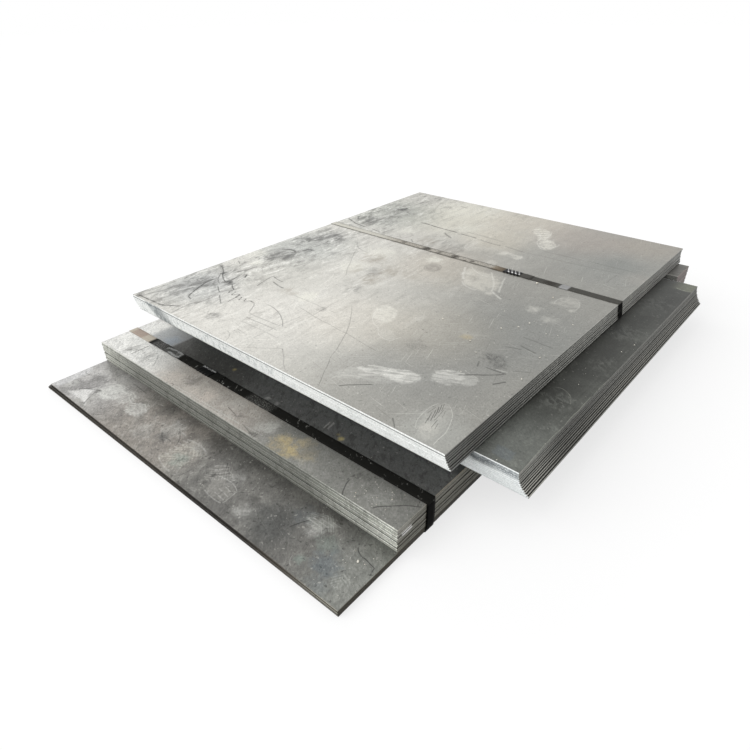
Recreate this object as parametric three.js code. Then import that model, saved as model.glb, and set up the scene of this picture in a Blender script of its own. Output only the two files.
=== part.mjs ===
// A strapped stack of steel plates, in millimetres, +Z up.
//
// Five packs of flat sheared plate lie on each other. Two packs carry the rest: three base plates
// and the lower pack, tied together by one steel strap. Across the lower pack lie the middle pack
// and, past its end, a pack of narrow strips of the same height. The top pack rests on those two
// and has a strap of its own. Every plate is a solid of its own.
//
// Packs are placed by the near right corner of their top plate: plates run back from it along -X,
// which is their width, and along +Y, which is their length.

import * as THREE from 'three';

// ---- Driving dimensions ----------------------------------------------------------------------

const PLATE_THICKNESS = 6;
const PLATE_WIDTH = 1250;
// Air left between two faces that rest on each other.
const GAP = 0.3;

const STRAP_WIDTH = 32;
const STRAP_THICKNESS = 0.9;
const STRAP_BEND_RADIUS = 0.4;
// How far the strap's two ends lap under the seal, how long it takes to climb over its own start,
// and how short of that start it has reached its full height.
const STRAP_LAP = 150;
const STRAP_RAMP = 12;
const STRAP_CLEARANCE = 1.2;
// Corners of the strap's path that bend less than this, in radians, stay sharp.
const STRAP_SOFT_BEND = 0.3;
const STRAP_BEND_STEPS = 4;

const SEAL_LENGTH = 60;
const SEAL_WALL = 1.2;

// Space that one layer of strap takes between two plates, or between a plate and the floor.
const STRAP_SPACE = STRAP_THICKNESS + GAP;

// Each pack: count of plates, width along X, length along Y, near right corner and turn of its top
// plate in degrees. Its bottom plate has slid and turned away from its top plate, and is wider and
// longer than it by grow. slidePower and growPower share this out over the plates between: 1 is a
// straight slant, more leaves the upper plates flush, less leaves the lower ones flush. jog is how
// far single plates stand out of line.
const BASE = {
  name: 'base_plate',
  count: 3,
  width: PLATE_WIDTH,
  length: 2000,
  corner: [-16.5, -320],
  turn: 0.08,
  slide: [-0.5, 0],
  slideTurn: 0.26,
  slidePower: 1,
  grow: [14, 0],
  growPower: 1,
  jog: 0.5,
};
const LOWER = {
  name: 'lower_plate',
  count: 11,
  width: PLATE_WIDTH,
  length: 1700,
  corner: [-17, -135],
  turn: 0,
  slide: [-0.5, 0],
  slideTurn: 0,
  slidePower: 1,
  grow: [0, 0],
  growPower: 1,
  jog: 1,
};
const MIDDLE = {
  name: 'middle_plate',
  count: 12,
  width: 1250,
  length: 1255,
  corner: [123, 103],
  turn: 0,
  slide: [22, 18.5],
  slideTurn: 0.1,
  slidePower: 1.8,
  grow: [0, 10],
  growPower: 1,
  jog: 0.4,
};
const END = {
  name: 'end_strip',
  count: 12,
  width: 1250,
  length: 130,
  corner: [43, 1402],
  turn: 0,
  slide: [-5, 20],
  slideTurn: 0,
  slidePower: 1.4,
  grow: [0, 0],
  growPower: 1,
  jog: 0.6,
};
const TOP = {
  name: 'top_plate',
  count: 8,
  width: PLATE_WIDTH,
  length: 1558,
  corner: [0, 0],
  turn: 0,
  slide: [10, 10.5],
  slideTurn: 0.15,
  slidePower: 1.4,
  grow: [0, -26],
  growPower: 0.4,
  jog: 0.4,
};

// Each strap: the middle of its width along Y, and the middle of its seal along X.
const LOWER_STRAP = { name: 'lower_strap', y: -19.5, sealX: -847 };
const TOP_STRAP = { name: 'top_strap', y: 945, sealX: -378 };

// ---- Materials -------------------------------------------------------------------------------

function steel(color, roughness, metalness) {
  return new THREE.MeshStandardMaterial({ color, roughness, metalness });
}

const PLATE_STEEL = steel(0x8b8b87, 0.42, 0.75);
const STRAP_STEEL = steel(0x141414, 0.35, 0.4);
const SEAL_STEEL = steel(0x2a2a2a, 0.35, 0.6);

// ---- Plates ----------------------------------------------------------------------------------

// A fixed unevenness for plate number n, between -1 and 1: the same every time, but without a
// pattern from plate to plate.
const JOG_STEP = 2.4;
const JOG_PHASE_X = 0.4;
const JOG_PHASE_Y = 2.1;

function unevenness(n, phase) {
  return Math.sin(n * JOG_STEP + phase);
}

// Where plate number n of a pack lies, with 0 at the bottom: its near right corner, its turn in
// radians, its width and length, and the height of its underside above the pack's own underside.
function placeOf(pack, n) {
  const below = (pack.count - 1 - n) / (pack.count - 1);
  const slid = below ** pack.slidePower;
  const grown = below ** pack.growPower;
  const jog = below > 0 ? pack.jog : 0;
  return {
    x: pack.corner[0] + pack.slide[0] * slid + jog * unevenness(n, JOG_PHASE_X),
    y: pack.corner[1] + pack.slide[1] * slid + jog * unevenness(n, JOG_PHASE_Y),
    turn: THREE.MathUtils.degToRad(pack.turn + pack.slideTurn * slid),
    width: pack.width + pack.grow[0] * grown,
    length: pack.length + pack.grow[1] * grown,
    z: n * (PLATE_THICKNESS + GAP),
  };
}

function heightOf(pack) {
  return pack.count * PLATE_THICKNESS + (pack.count - 1) * GAP;
}

// One plate hangs from its near right corner, so that it turns about that corner.
function plate(pack, n, underside) {
  const place = placeOf(pack, n);
  const mesh = new THREE.Mesh(
    new THREE.BoxGeometry(place.width, place.length, PLATE_THICKNESS),
    PLATE_STEEL,
  );
  mesh.name = `${pack.name}_${String(n + 1).padStart(2, '0')}`;
  mesh.position.set(-place.width / 2, place.length / 2, PLATE_THICKNESS / 2);
  const corner = new THREE.Group();
  corner.position.set(place.x, place.y, underside + place.z);
  corner.rotation.z = place.turn;
  corner.add(mesh);
  return corner;
}

function packOf(pack, underside) {
  const group = new THREE.Group();
  for (let n = 0; n < pack.count; n += 1) {
    group.add(plate(pack, n, underside));
  }
  return group;
}

// ---- Straps ----------------------------------------------------------------------------------

// The corners, in X and Z, of a pack's plates where a strap crosses them. A turned plate reaches
// a little further at one edge of the strap than at the other, so both edges are taken.
function sectionCorners(pack, underside, strapY) {
  const corners = [];
  for (let n = 0; n < pack.count; n += 1) {
    const place = placeOf(pack, n);
    const low = underside + place.z;
    for (const y of [strapY - STRAP_WIDTH / 2, strapY + STRAP_WIDTH / 2]) {
      const right = place.x - (y - place.y) * Math.tan(place.turn);
      const left = right - place.width / Math.cos(place.turn);
      for (const x of [left, right]) {
        corners.push(new THREE.Vector2(x, low), new THREE.Vector2(x, low + PLATE_THICKNESS));
      }
    }
  }
  return corners;
}

// Above zero where the way from a over b to c turns left.
function leftTurn(a, b, c) {
  return (b.x - a.x) * (c.y - a.y) - (b.y - a.y) * (c.x - a.x);
}

const STRAIGHT = 1e-6;

// A taut strap follows the convex outline of what it holds, here counterclockwise.
function convexOutline(points) {
  const sorted = [...points].sort((a, b) => a.x - b.x || a.y - b.y);
  const half = (list) => {
    const chain = [];
    for (const point of list) {
      while (chain.length > 1 && leftTurn(chain.at(-2), chain.at(-1), point) <= STRAIGHT) {
        chain.pop();
      }
      chain.push(point);
    }
    chain.pop();
    return chain;
  };
  return [...half(sorted), ...half(sorted.reverse())];
}

// The outline moved outwards by a distance, with an arc of the given radius at each real corner.
function offsetOutline(outline, distance, radius) {
  const moved = [];
  outline.forEach((corner, i) => {
    const before = outline[(i + outline.length - 1) % outline.length];
    const after = outline[(i + 1) % outline.length];
    const inDir = corner.clone().sub(before).normalize();
    const outDir = after.clone().sub(corner).normalize();
    const inNormal = new THREE.Vector2(inDir.y, -inDir.x);
    const outNormal = new THREE.Vector2(outDir.y, -outDir.x);
    const bend = Math.acos(THREE.MathUtils.clamp(inNormal.dot(outNormal), -1, 1));
    const bisector = inNormal.clone().add(outNormal).normalize();
    if (bend < STRAP_SOFT_BEND) {
      moved.push(corner.clone().addScaledVector(bisector, distance / Math.cos(bend / 2)));
      return;
    }
    const centre = corner.clone().addScaledVector(bisector, (distance - radius) / Math.cos(bend / 2));
    const start = inNormal.angle();
    for (let k = 0; k <= STRAP_BEND_STEPS; k += 1) {
      const angle = start + (bend * k) / STRAP_BEND_STEPS;
      moved.push(
        new THREE.Vector2(centre.x + radius * Math.cos(angle), centre.y + radius * Math.sin(angle)),
      );
    }
  });
  return moved;
}

// The closed outline opened on its top side at x, so that it runs once round the pack the other
// way, from x clockwise over the right side, underneath and up the left side.
function openedAt(outline, x) {
  const clockwise = [...outline].reverse();
  const top = Math.max(...clockwise.map((point) => point.y));
  const first = clockwise.findIndex((point, i) => {
    const previous = clockwise[(i + clockwise.length - 1) % clockwise.length];
    return point.x > x && previous.x < x && top - point.y < STRAP_SPACE;
  });
  return [...clockwise.slice(first), ...clockwise.slice(0, first)];
}

// One side of the strap: it starts under the seal, runs round the pack, climbs over its own
// start and ends past the seal.
function strapFace(outline, distance, radius, sealX) {
  const round = openedAt(offsetOutline(outline, distance, radius), sealX);
  const top = Math.max(...outline.map((point) => point.y)) + distance;
  const lapStart = sealX - STRAP_LAP / 2;
  const lapEnd = sealX + STRAP_LAP / 2;
  return [
    new THREE.Vector2(lapStart, top),
    ...round,
    new THREE.Vector2(lapStart - STRAP_RAMP, top),
    new THREE.Vector2(lapStart - STRAP_CLEARANCE, top + STRAP_SPACE),
    new THREE.Vector2(lapEnd, top + STRAP_SPACE),
  ];
}

// A flat outline in X and Z made solid along Y, about the middle of its width.
function acrossY(outline, width, y) {
  const geometry = new THREE.ExtrudeGeometry(new THREE.Shape(outline), {
    depth: width,
    bevelEnabled: false,
  });
  geometry.rotateX(Math.PI / 2);
  geometry.translate(0, y + width / 2, 0);
  return geometry;
}

function strap(place, outline) {
  const inside = strapFace(outline, GAP, STRAP_BEND_RADIUS, place.sealX);
  const bend = STRAP_BEND_RADIUS + STRAP_THICKNESS;
  const outside = strapFace(outline, GAP + STRAP_THICKNESS, bend, place.sealX);
  const mesh = new THREE.Mesh(
    acrossY([...inside, ...outside.reverse()], STRAP_WIDTH, place.y),
    STRAP_STEEL,
  );
  mesh.name = place.name;
  return mesh;
}

// The seal is a steel channel pressed down over the two layers of strap.
function seal(place, topFace) {
  const low = GAP;
  const roof = 2 * STRAP_SPACE + GAP;
  const inner = STRAP_WIDTH / 2 + GAP;
  const outer = inner + SEAL_WALL;
  const high = roof + SEAL_WALL;
  const bevel = SEAL_WALL / 2;
  const section = [
    [-outer, low],
    [-inner, low],
    [-inner, roof],
    [inner, roof],
    [inner, low],
    [outer, low],
    [outer, high - bevel],
    [outer - bevel, high],
    [-outer + bevel, high],
    [-outer, high - bevel],
  ].map(([y, z]) => new THREE.Vector2(y, z));
  const geometry = new THREE.ExtrudeGeometry(new THREE.Shape(section), {
    depth: SEAL_LENGTH,
    bevelEnabled: false,
  });
  geometry.rotateX(Math.PI / 2);
  geometry.rotateZ(Math.PI / 2);
  const mesh = new THREE.Mesh(geometry, SEAL_STEEL);
  mesh.name = place.name.replace('strap', 'seal');
  mesh.position.set(place.sealX - SEAL_LENGTH / 2, place.y, topFace);
  return mesh;
}

// ---- The stack -------------------------------------------------------------------------------

const baseUnderside = STRAP_SPACE;
const lowerUnderside = baseUnderside + heightOf(BASE) + GAP;
const lowerTop = lowerUnderside + heightOf(LOWER);
const middleUnderside = lowerTop + GAP;
const topUnderside = middleUnderside + heightOf(MIDDLE) + GAP + STRAP_SPACE;
const topFace = topUnderside + heightOf(TOP);

const lowerOutline = convexOutline([
  ...sectionCorners(BASE, baseUnderside, LOWER_STRAP.y),
  ...sectionCorners(LOWER, lowerUnderside, LOWER_STRAP.y),
]);
const topOutline = convexOutline(sectionCorners(TOP, topUnderside, TOP_STRAP.y));

const stack = new THREE.Group();
stack.add(
  packOf(BASE, baseUnderside),
  packOf(LOWER, lowerUnderside),
  packOf(MIDDLE, middleUnderside),
  packOf(END, middleUnderside),
  packOf(TOP, topUnderside),
  strap(LOWER_STRAP, lowerOutline),
  seal(LOWER_STRAP, lowerTop),
  strap(TOP_STRAP, topOutline),
  seal(TOP_STRAP, topFace),
);

// The origin is the middle of the stack's footprint, on the floor.
const box = new THREE.Box3().setFromObject(stack, true);
const middle = box.getCenter(new THREE.Vector3());
stack.position.set(-middle.x, -middle.y, -box.min.z);

export default stack;
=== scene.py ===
# %% [markdown]
# # A strapped stack of steel plates
#
# Raw stock on a pale floor: forty-six sheared steel plates in five packs, two flat steel straps
# and their seals. This lesson takes the plates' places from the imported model, gives every plate a
# real sheared edge, winds the straps again with the creases of handled strap, and spends most of
# its time on the steel itself: mill grain, sheen, dusty shoe prints, wipes, scratches, rust and
# the layered look of stacked edges.

# %% Tools and frame
import math
import random

import bmesh
import bpy
from mathutils import Matrix, Vector, geometry, noise


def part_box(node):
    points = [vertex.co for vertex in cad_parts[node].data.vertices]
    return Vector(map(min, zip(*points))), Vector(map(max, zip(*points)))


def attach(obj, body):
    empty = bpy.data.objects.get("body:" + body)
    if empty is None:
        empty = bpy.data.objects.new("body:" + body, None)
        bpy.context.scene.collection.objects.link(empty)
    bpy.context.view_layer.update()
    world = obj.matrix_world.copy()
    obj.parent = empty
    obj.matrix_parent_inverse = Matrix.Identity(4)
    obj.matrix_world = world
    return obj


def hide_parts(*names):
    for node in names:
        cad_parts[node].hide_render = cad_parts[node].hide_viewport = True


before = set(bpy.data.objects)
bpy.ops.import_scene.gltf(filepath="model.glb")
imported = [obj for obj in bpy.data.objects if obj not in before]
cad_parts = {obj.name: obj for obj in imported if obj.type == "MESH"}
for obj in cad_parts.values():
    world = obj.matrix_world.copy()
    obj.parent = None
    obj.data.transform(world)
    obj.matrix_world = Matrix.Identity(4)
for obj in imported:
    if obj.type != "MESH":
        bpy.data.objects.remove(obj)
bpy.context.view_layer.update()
scene = bpy.context.scene
MM = 0.001
print("CAD nodes:", len(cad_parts))

# %% [markdown]
# ## Where things are
#
# Every place in this lesson is told in millimetres from one point that is easy to find on the
# real stack: the near right corner of the uppermost plate. X runs along that plate's short side
# and is negative on it, Y runs along its long side, and heights count from its top face, so
# everything below it is negative.

# %% The corner that all places are told from
low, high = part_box("top_plate_08")
CORNER = Vector((high.x, low.y, high.z))
TOP_Z = 0.0
MIDDLE_Z = -51.6
LOWER_Z = -127.2
BASE_Z = -196.5
TOP_STRAP_Y, TOP_SEAL_X = 945, -378
LOWER_STRAP_Y, LOWER_SEAL_X = -19.5, -847


def place(x, y, z=0.0):
    """A point told in millimetres from the corner, as a point of the frame in metres."""
    return CORNER + Vector((x, y, z)) * MM


print("corner:", [round(v, 4) for v in CORNER])

# %% [markdown]
# ## Camera
#
# The stack is seen from a metre above the floor and a good metre from its near corner, through a
# wide lens. The wide lens is what makes the near corner so pointed and the far side so small, so
# lens and distance belong together and neither can be changed alone.

# %% Camera
LENS = 27.86
SENSOR = 36
EYE = (505.9, -794.0, 798.6)  # millimetres from the corner
LOOK_AZIMUTH = math.radians(41.352)
LOOK_DOWN = math.radians(32.693)
ROLL = math.radians(0.841)


def look_axes(azimuth, down, roll):
    """Turns a heading, a tilt down and a roll into the axes of a camera."""
    heading = Vector((-math.sin(azimuth), math.cos(azimuth), 0))
    forward = heading * math.cos(down) + Vector((0, 0, -math.sin(down)))
    level = Vector((math.cos(azimuth), math.sin(azimuth), 0))
    below = forward.cross(level)
    right = level * math.cos(roll) + below * math.sin(roll)
    under = below * math.cos(roll) - level * math.sin(roll)
    return Matrix((right, -under, -forward)).transposed().to_4x4()


camera_data = bpy.data.cameras.new("camera")
camera_data.lens = LENS
camera_data.sensor_width = SENSOR
camera = bpy.data.objects.new("camera", camera_data)
scene.collection.objects.link(camera)
camera.matrix_world = Matrix.Translation(place(*EYE)) @ look_axes(LOOK_AZIMUTH, LOOK_DOWN, ROLL)
scene.camera = camera
print("camera at", [round(v, 3) for v in camera.matrix_world.translation])

# %% [markdown]
# ## Small helpers for node trees
#
# A material is a tree of nodes. `Nodes` keeps the trees short to write: `put` adds a node and
# fills its sockets, `feed` gives one socket a value or a wire, `sum` works on numbers and `move`
# on points, and `ease` turns a value into a soft mask. Every effect below is built from them.

# %% Node helpers
ONE_NUMBER = ("LENGTH", "DOT_PRODUCT", "DISTANCE")


def chip(red, green, blue):
    """A paint chip's screen values, 0 to 255, as the linear colour that a shader works in."""
    return (*(((v / 255 + 0.055) / 1.055) ** 2.4 for v in (red, green, blue)), 1.0)


class Nodes:
    """A node tree, with short ways to add to it."""

    def __init__(self, tree):
        self.tree = tree

    def feed(self, socket, value):
        """Gives a socket another socket's output, or a plain value."""
        if isinstance(value, bpy.types.NodeSocket):
            self.tree.links.new(value, socket)
        else:
            socket.default_value = value

    def put(self, kind, inputs=None, **settings):
        """Adds a shader node, with its settings and its inputs by name or number."""
        node = self.tree.nodes.new("ShaderNode" + kind)
        for name, value in settings.items():
            setattr(node, name, value)
        for name, value in (inputs or {}).items():
            self.feed(node.inputs[name], value)
        return node

    def use(self, group, inputs=None):
        """Places a group and gives its outputs."""
        return self.put("Group", inputs, node_tree=group.tree).outputs

    def sum(self, how, a, b=0.0):
        return self.put("Math", {0: a, 1: b}, operation=how).outputs[0]

    def times(self, *masks):
        """Where all masks are 1. A plain number among them is the strength."""
        found = masks[0]
        for mask in masks[1:]:
            found = self.sum("MULTIPLY", found, mask)
        return found

    def away(self, value, level):
        """How far a value is from a level, either way."""
        return self.sum("ABSOLUTE", self.sum("SUBTRACT", value, level))

    def add_share(self, value, share, base):
        """base + value * share, in one node."""
        return self.put("Math", {0: value, 1: share, 2: base}, operation="MULTIPLY_ADD").outputs[0]

    def move(self, how, a, b):
        """A sum on points. SCALE takes a number for b, and the measuring sums give a number."""
        second = "Scale" if how == "SCALE" else 1
        return self.put("VectorMath", {0: a, second: b}, operation=how).outputs[how in ONE_NUMBER]

    def point(self, x, y, z):
        return self.put("CombineXYZ", {0: x, 1: y, 2: z}).outputs[0]

    def ease(self, value, start, end, low=0.0, high=1.0):
        """Goes smoothly from low to high while value goes from start to end."""
        names = {0: value, 1: start, 2: end, 3: low, 4: high}
        node = self.put("MapRange", names, interpolation_type="SMOOTHSTEP", clamp=False)
        return node.outputs[0]

    def blend(self, mask, a, b):
        """Mixes two colours."""
        return self.put("Mix", {0: mask, 6: a, 7: b}, data_type="RGBA").outputs[2]

    def between(self, mask, a, b):
        """Mixes two numbers."""
        return self.put("Mix", {0: mask, 2: a, 3: b}).outputs[0]

    def cloud(self, vector, scale=1.0, detail=3.0, rough=0.5, warp=0.0):
        """Soft noise between 0 and 1."""
        names = {"Vector": vector, "Scale": scale, "Detail": detail}
        names.update({"Roughness": rough, "Distortion": warp})
        return self.put("TexNoise", names).outputs[0]

    def slanted(self, vector, degrees, across, along, upright=0.0):
        """Measures a place across and along a slanted direction, each with a scale of its own."""
        cosine = math.cos(math.radians(degrees))
        sine = math.sin(math.radians(degrees))
        ways = (
            (cosine * across, sine * across, 0), (-sine * along, cosine * along, 0), (0, 0, upright)
        )
        return self.point(*(self.move("DOT_PRODUCT", vector, way) for way in ways))


print("node helpers ready")

# %% [markdown]
# ## Studio
#
# A plain studio in three parts. The world gives even light from all round. A long low softbox
# far behind the left side puts a sheen on the plates: bare steel shows where the light is more
# than how much there is, so the box adds little light but a lot of shape. One wide fill lights
# the cut ends that face the near left; it leaves no highlight of its own. Both are soft enough
# to leave no hard shadow.

# %% World and lamps
WORLD_LIGHT = 0.64
WHITE_LIGHT = (1, 1, 1, 1)
scene.view_settings.view_transform = "Standard"


def seen_directly(nodes):
    """1 for rays that show the background itself, in sight, in a mirror or through glass."""
    path = nodes.put("LightPath").outputs
    seen = nodes.sum("MAXIMUM", path["Is Camera Ray"], path["Is Glossy Ray"])
    return nodes.sum("MAXIMUM", seen, path["Is Transmission Ray"])


world = bpy.data.worlds.new("studio")
scene.world = world
world.use_nodes = True
sky = Nodes(world.node_tree)
background = world.node_tree.nodes["Background"].inputs
background["Color"].default_value = WHITE_LIGHT
sky.feed(background["Strength"], sky.between(seen_directly(sky), WORLD_LIGHT, 1.0))


def add_lamp(name, kind, matrix, **settings):
    data = bpy.data.lights.new(name, kind)
    for setting, value in settings.items():
        setattr(data, setting, value)
    lamp = bpy.data.objects.new(name, data)
    lamp.matrix_world = matrix
    lamp.visible_camera = False
    scene.collection.objects.link(lamp)
    return lamp


def towards(azimuth, height):
    """Turns a lamp so that it shines from azimuth, counted from +X to +Y, and height, degrees."""
    turn = Matrix.Rotation(math.radians(azimuth), 4, "Z")
    return turn @ Matrix.Rotation(math.radians(90 - height), 4, "Y")


SHEEN_AZIMUTH, SHEEN_TILT = 150, 22
SHEEN_DISTANCE, SHEEN_HEIGHT = 6.5, 3.0
SHEEN_LENGTH, SHEEN_WIDTH = 5.0, 3.4
SHEEN_BRIGHTNESS = 1.25
FILL_AZIMUTH, FILL_TILT = 238, 32
FILL_STRENGTH, FILL_SPREAD = 1.9, math.radians(60)
heading = math.radians(SHEEN_AZIMUTH)
box_place = Vector((math.cos(heading), math.sin(heading), 0)) * SHEEN_DISTANCE
box_place.z = SHEEN_HEIGHT
box_turn = towards(SHEEN_AZIMUTH, SHEEN_TILT) @ Matrix.Rotation(math.pi / 2, 4, "Z")
add_lamp(
    "sheen box", "AREA", Matrix.Translation(box_place) @ box_turn, shape="RECTANGLE",
    size=SHEEN_LENGTH, size_y=SHEEN_WIDTH,
    energy=SHEEN_BRIGHTNESS * math.pi * SHEEN_LENGTH * SHEEN_WIDTH,
)
fill_turn = towards(FILL_AZIMUTH, FILL_TILT)
fill = add_lamp("fill", "SUN", fill_turn, energy=FILL_STRENGTH, angle=FILL_SPREAD)
fill.visible_glossy = False

# %% [markdown]
# The floor is one large plate of matt white board. It shows the stack's soft shadow like any
# board, and some light of its own makes the unshaded part as white as the world behind it and
# the shadow faint, but only to the eye: what it throws back at the stack is plain reflected
# light from a pale grey board.

# %% Floor
FLOOR_SIZE = 60.0
FLOOR_GLOW = 0.7
FLOOR_GREY = (0.6, 0.6, 0.6, 1)
SEEN_GREY = (0.32, 0.32, 0.32, 1)
floor_material = bpy.data.materials.new("white board")
floor_material.use_nodes = True
board = Nodes(floor_material.node_tree)
board.tree.nodes.clear()
seen = seen_directly(board)
matt = board.put("BsdfDiffuse", {"Color": board.blend(seen, FLOOR_GREY, SEEN_GREY)})
strength = board.sum("MULTIPLY", seen, FLOOR_GLOW)
glow = board.put("Emission", {"Color": WHITE_LIGHT, "Strength": strength})
lit = board.put("AddShader", {0: matt.outputs[0], 1: glow.outputs[0]})
board.put("OutputMaterial", {"Surface": lit.outputs[0]})
floor_mesh = bpy.data.meshes.new("floor")
corners = [(-1, -1, 0), (1, -1, 0), (1, 1, 0), (-1, 1, 0)]
floor_mesh.from_pydata([Vector(c) * FLOOR_SIZE / 2 for c in corners], [], [(0, 1, 2, 3)])
floor_mesh.materials.append(floor_material)
floor = bpy.data.objects.new("floor", floor_mesh)
scene.collection.objects.link(floor)
print("floor", FLOOR_SIZE, "m square")

# %% [markdown]
# ## Shared effects as node groups
#
# An effect that several steels use is built once as a group with named inputs, and then placed
# in each material with its own values. The first group answers the question that all the others
# ask: where on the stack is this? It gives the place in millimetres, a wavering copy of it for
# things drawn by hand, and a ragged value that tears the outline of marks.

# %% Group maker and the place group
ORIGIN = (0, 0, 0)


class Group(Nodes):
    """A shader node group. Inputs are names with a value; a vector's value is three numbers."""

    def __init__(self, name, inputs, values, vectors=()):
        super().__init__(bpy.data.node_groups.new(name, "ShaderNodeTree"))
        for title, value in inputs.items():
            kind = "NodeSocketVector" if isinstance(value, tuple) else "NodeSocketFloat"
            socket = self.tree.interface.new_socket(title, in_out="INPUT", socket_type=kind)
            socket.default_value = value
        for titles, kind in ((vectors, "NodeSocketVector"), (values, "NodeSocketFloat")):
            for title in titles:
                self.tree.interface.new_socket(title, in_out="OUTPUT", socket_type=kind)
        self.given = self.tree.nodes.new("NodeGroupInput").outputs
        self.gives = self.tree.nodes.new("NodeGroupOutput").inputs

    def give(self, **values):
        """Wires what was made to the group's outputs."""
        for name, value in values.items():
            self.feed(self.gives[name], value)
        print("group:", self.tree.name)


WAVER = 12.0
where = Group("stack place", {}, ("Ragged", "Skip"), ("Millimetres", "Wavering"))
spot = where.move("SUBTRACT", where.put("TexCoord").outputs["Object"], tuple(CORNER))
here = where.move("SCALE", spot, 1 / MM)
slow = where.put("TexNoise", {"Vector": here, "Scale": 0.012, "Detail": 1.5})
push = where.move("SUBTRACT", slow.outputs["Color"], (0.5, 0.5, 0.5))
wavering = where.move("ADD", here, where.move("SCALE", push, WAVER))
torn = where.sum("SUBTRACT", where.cloud(here, 0.04, 5.0, 0.72), 0.5)
where.give(
    Millimetres=here,
    Wavering=where.move("MULTIPLY", wavering, (1, 1, 0)),
    Ragged=where.sum("MULTIPLY", torn, 2.4),
    Skip=where.cloud(here, 0.05, 3.0, 0.6),
)

# %% [markdown]
# ### Mill grain
#
# Hot rolled plate isn't one grey. The rolls leave fine streaks along the plate, the scale comes
# off in soft clouds, and handling wipes it in long strokes. Plates are dragged off a stack
# cornerwise, so the finest grain and the drag marks lie aslant. The group gives one value for
# each, and the material decides how strong they are.

# %% Group: mill grain
DRAG_TURN = 41.0
GRAINS = ("Streak", "Cloud", "Wipe", "Mottle", "Brush", "Speckle", "Fine", "Drag", "Specks")
grain = Group("mill grain", {"Millimetres": ORIGIN, "Cloud size": 200.0}, GRAINS)
here = grain.given["Millimetres"]


def drawn_out(x, y):
    """The place squeezed by a scale of its own along each axis, so noise on it is drawn out."""
    return grain.move("MULTIPLY", here, (x, y, 0.01))


fine = grain.cloud(drawn_out(0.22, 0.006), 1.0, 3.0, 0.6)
broad = grain.cloud(drawn_out(0.03, 0.0014), 1.0, 2.0)
soft = grain.move("SCALE", here, grain.sum("DIVIDE", 1.0, grain.given["Cloud size"]))
finest = grain.slanted(here, DRAG_TURN, 0.22, 0.12, 0.22)
dragged = grain.slanted(here, DRAG_TURN, 0.07, 0.03, 0.03)
grain.give(
    Streak=grain.between(0.45, fine, broad),
    Cloud=grain.cloud(soft, 1.0, 5.0, 0.55, 0.5),
    Wipe=grain.cloud(drawn_out(0.014, 0.0035), 1.0, 6.0, 0.62, 1.2),
    Mottle=grain.cloud(here, 0.02, 6.0, 0.7, 0.8),
    Brush=grain.cloud(drawn_out(0.038, 0.0105), 1.0, 6.0, 0.68, 1.0),
    Speckle=grain.cloud(here, 0.28, 2.0, 0.6),
    Fine=grain.cloud(finest, 1.0, 3.0, 0.85),
    Drag=grain.cloud(dragged, 1.0, 6.0, 0.75, 0.6),
    Specks=grain.cloud(here, 0.11, 2.0, 0.5),
)

# %% [markdown]
# ### Hair scratches
#
# Between the scratches that can be counted lie hundreds that can't. Noise that is stretched a
# hundred times longer than wide and cut off near its peaks gives short straight hairs, and three
# layers of it, turned three ways, cross each other as real handling scratches do.

# %% Group: hair scratches
HAIR_TURNS = (76.0, 18.0, -51.0)
hair = Group("hair scratches", {"Millimetres": ORIGIN, "Seed": 0.0}, ("Mask",))
found = 0.0
for number, degrees in enumerate(HAIR_TURNS):
    stretched = hair.slanted(hair.given["Millimetres"], degrees, 0.32, 0.007)
    lane = hair.sum("ADD", hair.given["Seed"], number * 17.0)
    hairs = hair.cloud(hair.move("ADD", stretched, hair.point(lane, 0.0, lane)), 1.0, 1.0)
    found = hair.sum("MAXIMUM", found, hair.ease(hairs, 0.7, 0.78))
hair.give(Mask=found)

# %% [markdown]
# ### Print
#
# Shoes, gloves and wet rags leave oval marks. The group measures the place across and along the
# mark, so that one group can be a heel, a sole or a wipe. It gives the filled mark with a torn
# outline, its rim, where dust gathers as it dries, and the bars of a tread, which bend at the
# middle like an arrow's head when they are given a slant.

# %% Group: print
sole = Group(
    "print",
    {
        "Here": ORIGIN, "Ragged": 0.0, "Centre": ORIGIN, "Across": (1, 0, 0), "Along": (0, 1, 0),
        "Width": 100.0, "Length": 100.0, "Tearing": 0.8, "Bar": 14.0, "Slant": 0.0,
    },
    ("Mask", "Rim", "Tread"),
)
given = sole.given
gap = sole.move("SUBTRACT", given["Here"], given["Centre"])
across = sole.sum("ABSOLUTE", sole.move("DOT_PRODUCT", gap, given["Across"]))
along = sole.move("DOT_PRODUCT", gap, given["Along"])
wide = sole.sum("POWER", sole.sum("DIVIDE", across, given["Width"]), 2.0)
long = sole.sum("ABSOLUTE", sole.sum("DIVIDE", along, given["Length"]))
long = sole.sum("POWER", long, 2.0)
radius = sole.sum("MULTIPLY", sole.sum("SQRT", sole.sum("ADD", wide, long)), 2.0)
radius = sole.add_share(given["Ragged"], given["Tearing"], radius)
bars = sole.add_share(across, given["Slant"], along)
bars = sole.sum("DIVIDE", sole.sum("MULTIPLY", bars, math.tau), given["Bar"])
bars = sole.add_share(given["Ragged"], sole.sum("MULTIPLY", given["Tearing"], 3.0), bars)
sole.give(
    Mask=sole.ease(radius, 1.06, 0.74),
    Rim=sole.times(sole.ease(radius, 0.72, 0.9), sole.ease(radius, 1.02, 0.94)),
    Tread=sole.ease(sole.sum("SINE", bars), -0.2, 0.5),
)
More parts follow.
